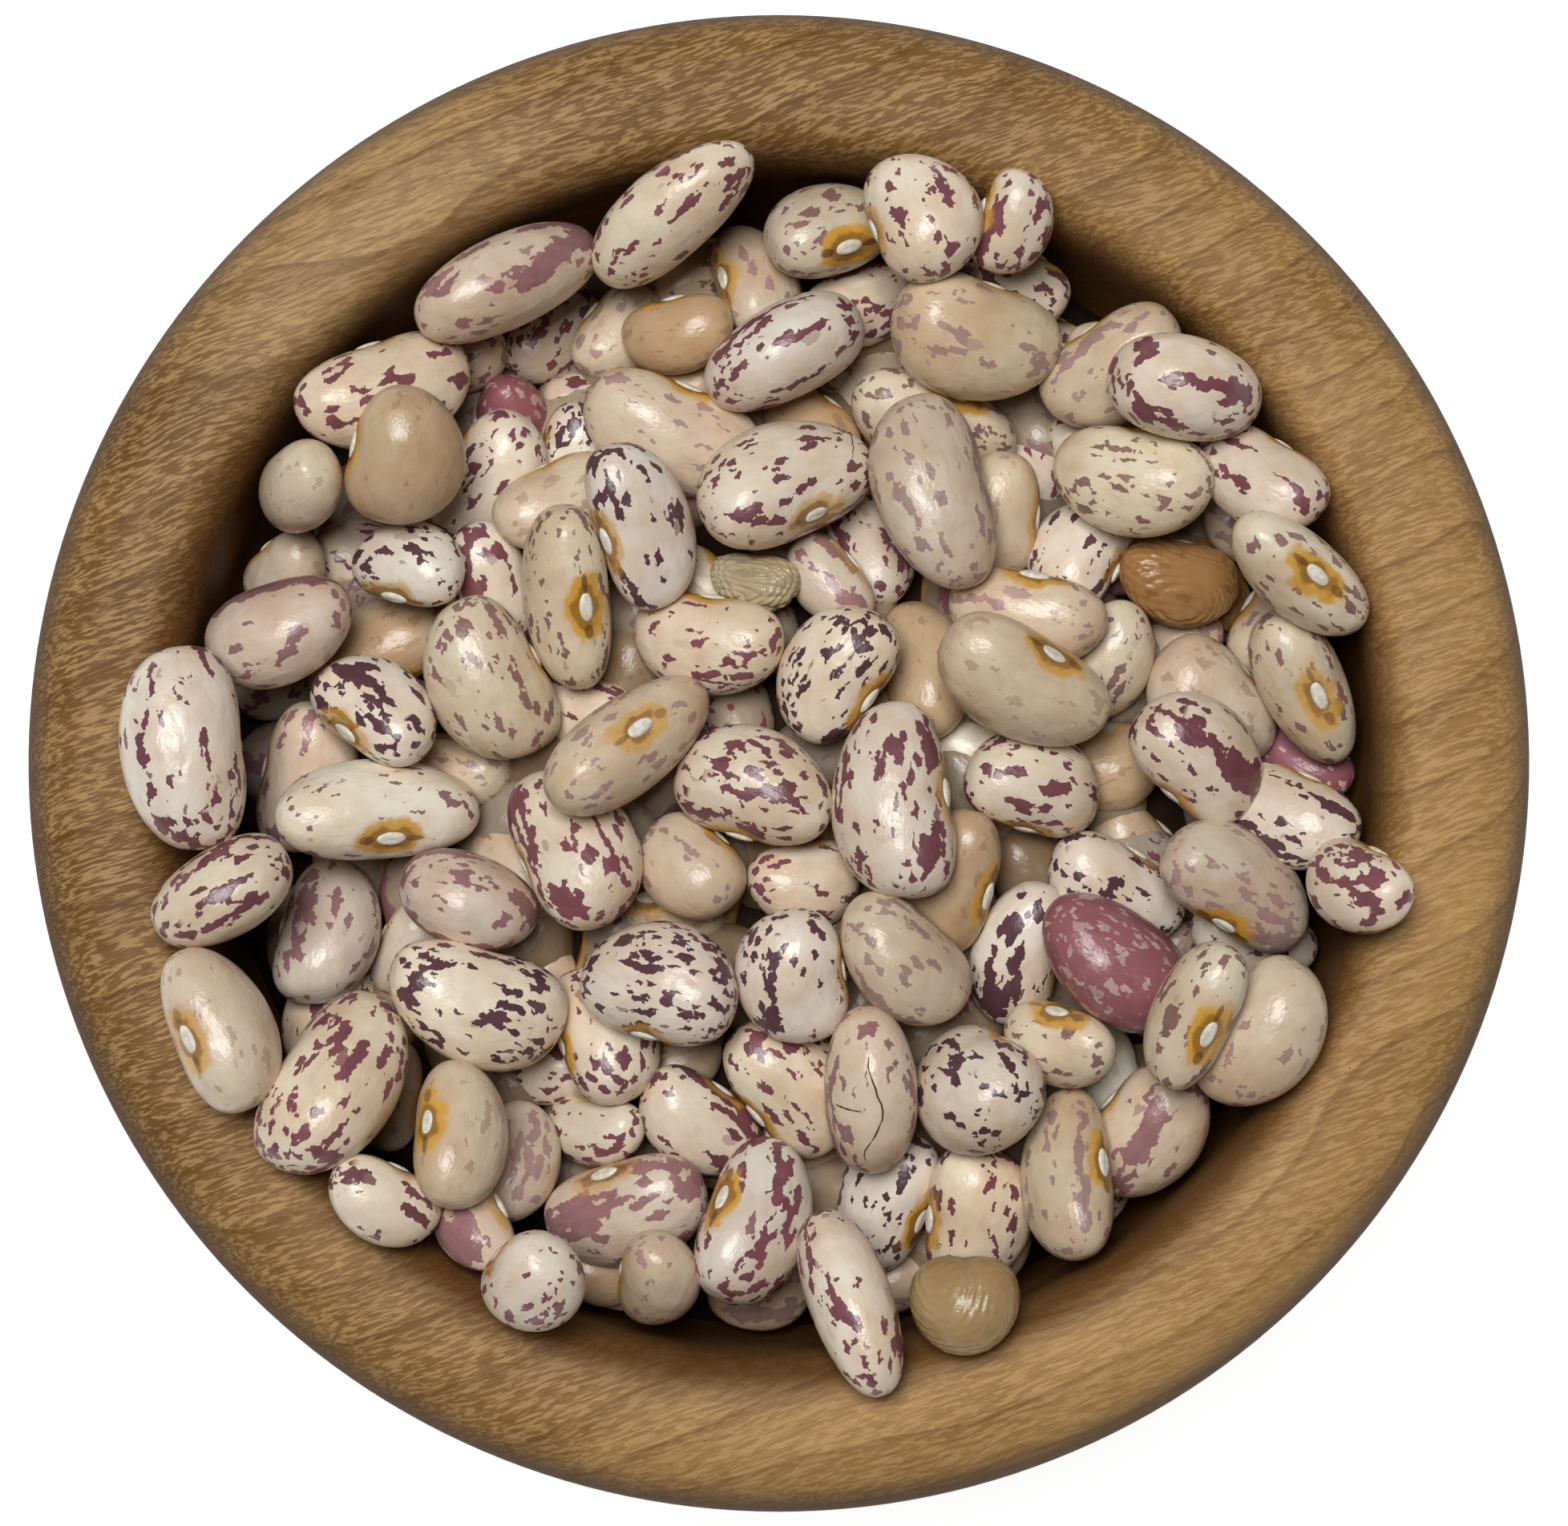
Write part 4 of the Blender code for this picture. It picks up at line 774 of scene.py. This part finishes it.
def bean_piece(name, chosen, rings, sides, material, draw, crumple=0.0, shade=1.0):
    """All beans of one coat as one mesh: each bean's own points, turned and moved to where it settled."""
    count = len(chosen)
    half_sizes = np.array([bean[2] for bean in chosen])
    along = np.linspace(POLE_TURN, math.pi - POLE_TURN, rings)[:, None]
    around = np.linspace(0, 2 * math.pi, sides, endpoint=False)[None, :]
    local = np.array([bean_points(half, along, around) for half in half_sizes])
    local = carve(local, half_sizes[:, None, None, :], crumple, draw)
    poles = np.stack((local[:, 0].mean(1), local[:, -1].mean(1)), 1)
    poles[:, :, 0] += np.array((-1, 1)) * POLE_REACH
    world, world_poles = laid(chosen, local, poles)
    piece = shells_object(name, world, world_poles, material)
    form = np.concatenate((local.reshape(count, -1, 3), poles), axis=1)
    marks = form + draw.uniform(-400, 400, (count, 1, 3))
    tone = draw.normal(1, 0.045, (count, 1))
    warmth = draw.normal(0, 0.03, (count, 1)) * np.array((0.3, 0, -1.0))
    # shade darkens the ground: painted shade on the hidden beans.
    ground = np.array([linear(*COATS[bean[3]][0]) for bean in chosen]) * shade * np.clip(tone, 0.86, 1.08)
    ground = ground * (1 + warmth)
    ink = np.array([linear(*COATS[bean[3]][1]) for bean in chosen]) * draw.uniform(0.85, 1.15, (count, 1))
    amounts = np.array([COATS[bean[3]][2:6] for bean in chosen])
    amounts[:, :3] *= draw.uniform(0.85, 1.12, (count, 3))
    halo = np.array([[COATS[bean[3]][6]] for bean in chosen]) * draw.uniform(0.7, 1.2, (count, 1))
    evenness = np.array([[COATS[bean[3]][7]] for bean in chosen])
    vectors = {"form": form, "marks": marks}
    for key, values in vectors.items():
        piece.data.attributes.new(key, "FLOAT_VECTOR", "POINT").data.foreach_set("vector", values.ravel())
    colours = {"ground": np.hstack((ground, halo)), "ink": np.hstack((ink, evenness)), "amounts": amounts}
    for key, values in colours.items():
        spread = np.repeat(values[:, None], form.shape[1], axis=1)
        piece.data.attributes.new(key, "FLOAT_COLOR", "POINT").data.foreach_set("color", spread.ravel())
    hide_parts("beans")
    return world


coat = coat_material()
under_draw = np.random.default_rng(UNDER_SEED)
bean_piece("beans_under", unseen_beans, UNDER_RINGS, UNDER_SIDES, coat, under_draw, shade=UNDER_PAINTED_SHADE)
skins = []
for order, kind in enumerate(COATS):
    chosen = [bean for bean in shown_beans if bean[3] == kind]
    fineness = FOLDED_FINENESS if kind in FOLDS else 1
    rings, sides = fineness * BEAN_RINGS, fineness * BEAN_SIDES
    coat_draw = np.random.default_rng(COAT_SEED + order)
    skins += list(bean_piece(f"beans_{kind}", chosen, rings, sides, coat, coat_draw, FOLDS.get(kind, 0.0)))


# The beans' eyes
# Where each bean hung in its pod: a small raised white oval with a groove, in the notch of its curved side.
EYE_LENGTH, EYE_BREADTH, EYE_HEIGHT = 2.8, 1.3, 0.42
EYE_SUNK_IN = 0.05
GROOVE_DEPTH, GROOVE_BREADTH, GROOVE_LENGTH = 0.3, 0.16, 0.36
GROOVE_FLOOR = 0.72


def eye_material():
    """Chalky white with a fine warm mottle."""
    material, tree, shader = new_material("bean_eye_white")
    place = node(tree, "ShaderNodeTexCoord", {}).outputs["Object"]
    mottle = noise(tree, place, 1800.0, 2.0)
    skin = blend(tree, step(tree, mottle, 0.35, 0.7), colour(222, 214, 194), colour(246, 243, 230))
    plug(tree, shader, {"Base Color": skin, "Roughness": 0.5})
    return material


def eye_points(along, around):
    """A low oval pillow about Y. A groove along X dips by a bell curve of the distance from X."""
    reach = np.sin(along)
    x = EYE_LENGTH / 2 * reach * np.cos(around)
    z = -EYE_BREADTH / 2 * reach * np.sin(around)
    groove = GROOVE_DEPTH * np.exp(-((z / (GROOVE_BREADTH * EYE_BREADTH)) ** 2))
    groove = groove * np.clip(1 - (x / (GROOVE_LENGTH * EYE_LENGTH)) ** 2, 0, 1)
    y = -EYE_HEIGHT * np.cos(along) * (1 - groove)
    return np.stack((x, y, z), -1)


def eyes_piece(chosen):
    """One eye on each bean, at the middle of its notch, turned with the bean."""
    along = np.linspace(0.12, math.pi - 0.12, 10)[:, None]
    around = np.linspace(0, 2 * math.pi, 18, endpoint=False)[None, :]
    eye = eye_points(along, around)
    ends = np.array(((0, -EYE_HEIGHT, 0), (0, EYE_HEIGHT * GROOVE_FLOOR, 0)))
    half_breadth = np.array([bean[2][1] for bean in chosen])
    seat = half_breadth * (1 - NOTCH_DEPTH) - BEND * 2 * half_breadth * BEND_MIDDLE - EYE_SUNK_IN
    offset = np.stack((0 * seat, seat, 0 * seat), -1)
    world, world_ends = laid(chosen, eye[None] + offset[:, None, None], ends[None] + offset[:, None])
    piece = shells_object("bean_eyes", world, world_ends, eye_material())
    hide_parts("beans")


eyes_piece([bean for bean in shown_beans if bean[3] not in ("maroon", "pea", "husk", "split")])


# Cracks in the skins
# Two dry skins have split: one along its top and across it, one round its head end. Thin lines mark them.
CRACK_WIDTH, CRACK_HEIGHT = 0.22, 0.1
CRACK_WOBBLE = 0.28
CRACK_TIP = 0.1
CRACK_SEED = 8
SPLIT_ALONG, SPLIT_ROUND = (8.1, -28.3), (0.0, 22.8)


def skin_near(x, y):
    """The rings of points of the bean that lies nearest to a place, seen from above."""
    return min(skins, key=lambda skin: math.dist(skin.mean((0, 1))[:2], (x, y)))


def crack_points(skin, along, around, draw):
    """A lens-shaped band on a bean's skin, from shares of its length and turns away from its highest line."""
    steps = np.linspace(0, 1, 26)
    rows = np.interp(steps, np.linspace(0, 1, len(along)), along) * (len(skin) - 1)
    row = np.rint(rows).astype(int)
    crest = skin[len(skin) // 2, :, 2].argmax()
    wobble = np.cumsum(draw.normal(0, CRACK_WOBBLE, len(steps)))
    column = crest + np.interp(steps, np.linspace(0, 1, len(around)), around) * skin.shape[1] + wobble
    low = np.floor(column).astype(int)
    share = (column - low)[:, None]
    line = skin[row, low % skin.shape[1]] * (1 - share) + skin[row, (low + 1) % skin.shape[1]] * share
    line = np.array([line[max(i - 1, 0):i + 2].mean(0) for i in range(len(line))])
    out = line - skin.mean((0, 1))
    out /= np.linalg.norm(out, axis=1, keepdims=True)
    ahead = np.gradient(line, axis=0)
    ahead /= np.linalg.norm(ahead, axis=1, keepdims=True)
    side = np.cross(ahead, out)
    turn = np.linspace(0, 2 * math.pi, 8, endpoint=False)[None, :, None]
    thin = np.sin(math.pi * np.clip(steps, 0.04, 0.96))[:, None, None] ** 0.6
    ring = side[:, None] * np.cos(turn) * CRACK_WIDTH / 2 + out[:, None] * np.sin(turn) * CRACK_HEIGHT / 2
    tips = np.stack((line[0] - CRACK_TIP * ahead[0], line[-1] + CRACK_TIP * ahead[-1]))
    return line[:, None] + thin * ring, tips


crack_draw = np.random.default_rng(CRACK_SEED)
crack_bands = [
    crack_points(skin_near(*SPLIT_ALONG), (0.1, 0.9), (0.05, 0.0, 0.04, -0.03, 0.02), crack_draw),
    crack_points(skin_near(*SPLIT_ALONG), (0.53, 0.5, 0.52), (-0.17, -0.1, 0.0), crack_draw),
    crack_points(skin_near(*SPLIT_ROUND), (0.12, 0.2, 0.3), (0.2, 0.05, -0.12), crack_draw),
]
crack_material, crack_tree, crack_shader = new_material("skin_crack")
plug(crack_tree, crack_shader, {"Base Color": colour(104, 70, 54), "Roughness": 0.8})
crack_rings, crack_tips = (np.stack(part) for part in zip(*crack_bands))
cracks = shells_object("skin_cracks", crack_rings, crack_tips, crack_material)
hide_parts("beans")


# The heart of the heap
# What the beans hide: one closed body of the hollow's form under a low dome, painted shade as dark as the
# gaps between beans.
HEART_DROP = 1.5
HEART_SIDES = 72


def heart_material():
    """Deep brown shadow colour with a little mottle."""
    material, tree, shader = new_material("heap_shade_heart")
    place = node(tree, "ShaderNodeTexCoord", {}).outputs["Object"]
    skin = blend(tree, noise(tree, place, 300.0, 2.0), colour(28, 20, 14), colour(58, 42, 32))
    plug(tree, shader, {"Base Color": skin, "Roughness": 0.9, "Specular IOR Level": 0.1})
    return material


def heart_profile():
    """The hollow's curve a gap inside it from the floor up, then the heap's form well below its surface."""
    edge = MOUTH_RADIUS - 2 * GAP
    inner_z = BOWL_HEIGHT - INNER_LOBE_DEPTH
    turn = np.linspace(0.97, 0.0, 18)
    rise = lobe(MOUTH_RADIUS - GAP, inner_z - FLOOR_THICKNESS - GAP, HOLLOW_FULLNESS, turn)
    wall = rise * (1, -1) + (0, inner_z)
    top = heap_height(edge) - CORE_DEPTH - HEART_DROP
    wall = wall[wall[:, 1] < top]
    radius = np.linspace(edge, 2, 14)
    dome = np.stack((radius, heap_height(radius) - CORE_DEPTH - HEART_DROP), -1)
    return np.concatenate((np.minimum(wall, (edge, top)), dome))


heart_ends = (FLOOR_THICKNESS + GAP, heap_height(0) - CORE_DEPTH - HEART_DROP)
heart = turned_object("heap_shade_heart", heart_profile(), heart_ends, HEART_SIDES, heart_material())
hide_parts("beans")


# The table, the light and the camera
# A plain white ground that glows softly, a soft window light high up and a little to the left, dim white
# surroundings, and a camera nearly overhead.
FLOOR_HALF, FLOOR_DROP = 2.0, 0.0005
floor_mesh = bpy.data.meshes.new("floor")
corner_sides = ((-1, -1), (1, -1), (1, 1), (-1, 1))
floor_corners = [(x * FLOOR_HALF, y * FLOOR_HALF, -FLOOR_DROP) for x, y in corner_sides]
floor_mesh.from_pydata(floor_corners, [], [(0, 1, 2, 3)])
floor_material, floor_tree, floor_shader = new_material("white_ground")
plug(floor_tree, floor_shader, {"Base Color": colour(120, 120, 120), "Roughness": 0.9})
plug(floor_tree, floor_shader, {"Emission Color": colour(255, 255, 255), "Emission Strength": 0.95})
floor_mesh.materials.append(floor_material)
floor = bpy.data.objects.new("floor", floor_mesh)
bpy.context.scene.collection.objects.link(floor)

world = bpy.data.worlds.new("surroundings")
bpy.context.scene.world = world
world.use_nodes = True
background = world.node_tree.nodes["Background"]
plug(world.node_tree, background, {"Color": (1.0, 1.0, 1.0, 1.0), "Strength": 0.01})

LIGHT_PLACE, LIGHT_AIM = Vector((-0.1, 0.12, 0.82)), Vector((0, 0, 0.04))
LIGHT_SIZE, LIGHT_POWER = 0.33, 5.75
window = bpy.data.lights.new("window_light", "AREA")
window.size = LIGHT_SIZE
window.energy = LIGHT_POWER
window_light = bpy.data.objects.new("window_light", window)
window_light.location = LIGHT_PLACE
window_light.rotation_euler = (LIGHT_AIM - LIGHT_PLACE).to_track_quat("-Z", "Y").to_euler()
bpy.context.scene.collection.objects.link(window_light)

IMAGE_WIDTH, IMAGE_HEIGHT = 1956, 1904
BOWL_PIXEL = (971.6, 944.4)
BOWL_PIXEL_RADIUS = 930.5
WIDEST_Z = BOWL_HEIGHT - OUTER_LOBE_DEPTH
CAMERA_DISTANCE = 380.0
CAMERA_ELEVATION = math.radians(85.5)
SENSOR = 36.0
per_pixel = BOWL_RADIUS / BOWL_PIXEL_RADIUS
aim_x = (IMAGE_WIDTH / 2 - BOWL_PIXEL[0]) * per_pixel
aim_y = (BOWL_PIXEL[1] - IMAGE_HEIGHT / 2) * per_pixel
aim = Vector((aim_x, aim_y, WIDEST_Z))
away = Vector((0, -math.cos(CAMERA_ELEVATION), math.sin(CAMERA_ELEVATION)))
lens = bpy.data.cameras.new("camera")
lens.sensor_width = SENSOR
lens.lens = SENSOR * CAMERA_DISTANCE / (IMAGE_WIDTH * per_pixel)
camera = bpy.data.objects.new("camera", lens)
camera.location = (aim + away * CAMERA_DISTANCE) * MM
camera.rotation_euler = (-away).to_track_quat("-Z", "Y").to_euler()
bpy.context.scene.collection.objects.link(camera)
bpy.context.scene.camera = camera
bpy.context.scene.view_settings.view_transform = "Standard"
